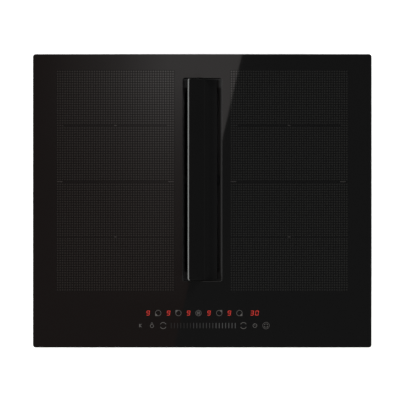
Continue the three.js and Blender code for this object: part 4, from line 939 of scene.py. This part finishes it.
def softbox_material():
    """What the glass mirrors: a softbox that fades to the left and the front, with a slanted right edge."""
    made, tree, output = new_material("softbox_reflection")
    where = add(tree, "ShaderNodeTexCoord").outputs["Object"]
    x, y, _ = add(tree, "ShaderNodeSeparateXYZ", where).outputs
    right = add(tree, "ShaderNodeMath", x, 0.0, operation="MAXIMUM").outputs["Value"]
    lifted = (right, SOFTBOX["right_lift"], y)
    lifted_y = add(tree, "ShaderNodeMath", *lifted, operation="MULTIPLY_ADD").outputs["Value"]
    edge_line = (y, SOFTBOX["edge_slope"], SOFTBOX["edge_start"])
    edge = add(tree, "ShaderNodeMath", *edge_line, operation="MULTIPLY_ADD").outputs["Value"]
    inside = add(tree, "ShaderNodeMath", edge, x, operation="SUBTRACT").outputs["Value"]
    lit = share(tree, inside, -SOFTBOX["edge_blur"], SOFTBOX["edge_blur"])
    across, along = fade(tree, x, SOFTBOX["across"]), fade(tree, lifted_y, SOFTBOX["along"])
    bright = product(tree, across, along, SOFTBOX["brightness"])
    inputs = {"Factor": 1.0, "A": SOFTBOX["warm"], "B": bright}
    mixed = add(tree, "ShaderNodeMix", data_type="RGBA", blend_type="ADD", inputs=inputs)
    glow = add(tree, "ShaderNodeEmission", inputs={"Color": mixed.outputs["Result"], "Strength": lit})
    tree.links.new(glow.outputs["Emission"], output.inputs["Surface"])
    return made


def overhead_card():
    """The softbox, for mirror rays only, scaled up so that its reflection keeps its place on the glass."""
    shape = bmesh.new()
    bar(shape, 0, 0, *SOFTBOX_CARD, 0)
    card = mesh_object("overhead_card", shape, softbox_material())
    grow = 1 + SOFTBOX["height"] / camera_height()
    card.scale = (grow, grow, 1)
    x, y = CAMERA["x"] * MM, CAMERA["y"] * MM
    card.location = (x * (1 - grow), y * (1 - grow), GLASS.top * MM + SOFTBOX["height"])
    only_mirrored(card)


def black_flag():
    """A black card beyond the right edge, which the tilted flap mirrors."""
    made, tree, output = new_material("black_flag_cloth")
    cloth = add(tree, "ShaderNodeBsdfDiffuse", linear("#030303"))
    tree.links.new(cloth.outputs["BSDF"], output.inputs["Surface"])
    shape = bmesh.new()
    front, rear, bottom, top = FLAG["front"], FLAG["rear"], FLAG["bottom"], FLAG["top"]
    corners = ((front, bottom), (rear, bottom), (rear, top), (front, top))
    shape.faces.new([shape.verts.new((FLAG["x"], y, z)) for y, z in corners])
    card = mesh_object("black_flag", shape, made)
    only_mirrored(card)


def floor():
    """Pale seamless floor that stays white to the camera where no shadow falls."""
    made, tree, output = new_material("white_paper")
    paper = add(tree, "ShaderNodeBsdfDiffuse", linear("#E8E8E8"))
    seen = add(tree, "ShaderNodeLightPath").outputs["Is Camera Ray"]
    whitening = product(tree, seen, FLOOR["whitening"])
    glow = add(tree, "ShaderNodeEmission", inputs={"Strength": whitening})
    both = add(tree, "ShaderNodeAddShader", paper.outputs["BSDF"], glow.outputs["Emission"])
    tree.links.new(both.outputs["Shader"], output.inputs["Surface"])
    shape = bmesh.new()
    bar(shape, 0, 0, FLOOR["side"], FLOOR["side"], -FLOOR["drop"])
    mesh_object("floor", shape, made)


def world():
    """Soft studio surround: white to the camera, plain to matt surfaces, greyer where it is mirrored."""
    made = bpy.data.worlds.new("studio")
    bpy.context.scene.world = made
    made.use_nodes = True
    tree = made.node_tree
    tree.nodes.clear()
    ray = add(tree, "ShaderNodeLightPath").outputs
    up = add(tree, "ShaderNodeTexCoord").outputs["Generated"]
    height = add(tree, "ShaderNodeSeparateXYZ", up).outputs["Z"]
    climb = (SURROUND["low"], SURROUND["high"], SURROUND["mirrored_low"], SURROUND["mirrored_high"])
    mirrored = add(tree, "ShaderNodeMapRange", height, *climb).outputs["Result"]
    inputs = {"Factor": ray["Is Glossy Ray"], "A": SURROUND["matt"], "B": mirrored}
    level = add(tree, "ShaderNodeMix", data_type="FLOAT", inputs=inputs).outputs["Result"]
    inputs = {"Factor": ray["Is Camera Ray"], "A": level, "B": 1.0}
    shown = add(tree, "ShaderNodeMix", data_type="FLOAT", inputs=inputs).outputs["Result"]
    light = add(tree, "ShaderNodeBackground", inputs={"Strength": shown})
    add(tree, "ShaderNodeOutputWorld", inputs={"Surface": light.outputs["Background"]})


def camera_height():
    """Metres from the glass to the camera, so that the frame is as wide on the glass as in the photo."""
    return CAMERA["view_width"] * MM * CAMERA["lens"] / CAMERA["sensor"]


def camera():
    """The photo's camera, straight above the glass."""
    data = bpy.data.cameras.new("camera")
    data.lens = CAMERA["lens"]
    data.sensor_width = CAMERA["sensor"]
    data.clip_end = CAMERA["clip_end"]
    eye = bpy.data.objects.new("camera", data)
    eye.location = (CAMERA["x"] * MM, CAMERA["y"] * MM, GLASS.top * MM + camera_height())
    bpy.context.scene.collection.objects.link(eye)
    bpy.context.scene.camera = eye


finish_cad_nodes()
glass_top()
flap_glass()
field_dots(-1, "field_dots_left")
field_dots(1, "field_dots_right")
field_lines()
field_marks()
digits()
icons()
slider_bars()
rim_screws()
spigot_screws()
clamp_screws(-1, "left")
clamp_screws(1, "right")
inner_screws()
floor()
overhead_card()
black_flag()
world()
for row in LAMPS:
    lamp(*row)
camera()
bpy.context.scene.view_settings.view_transform = "Standard"
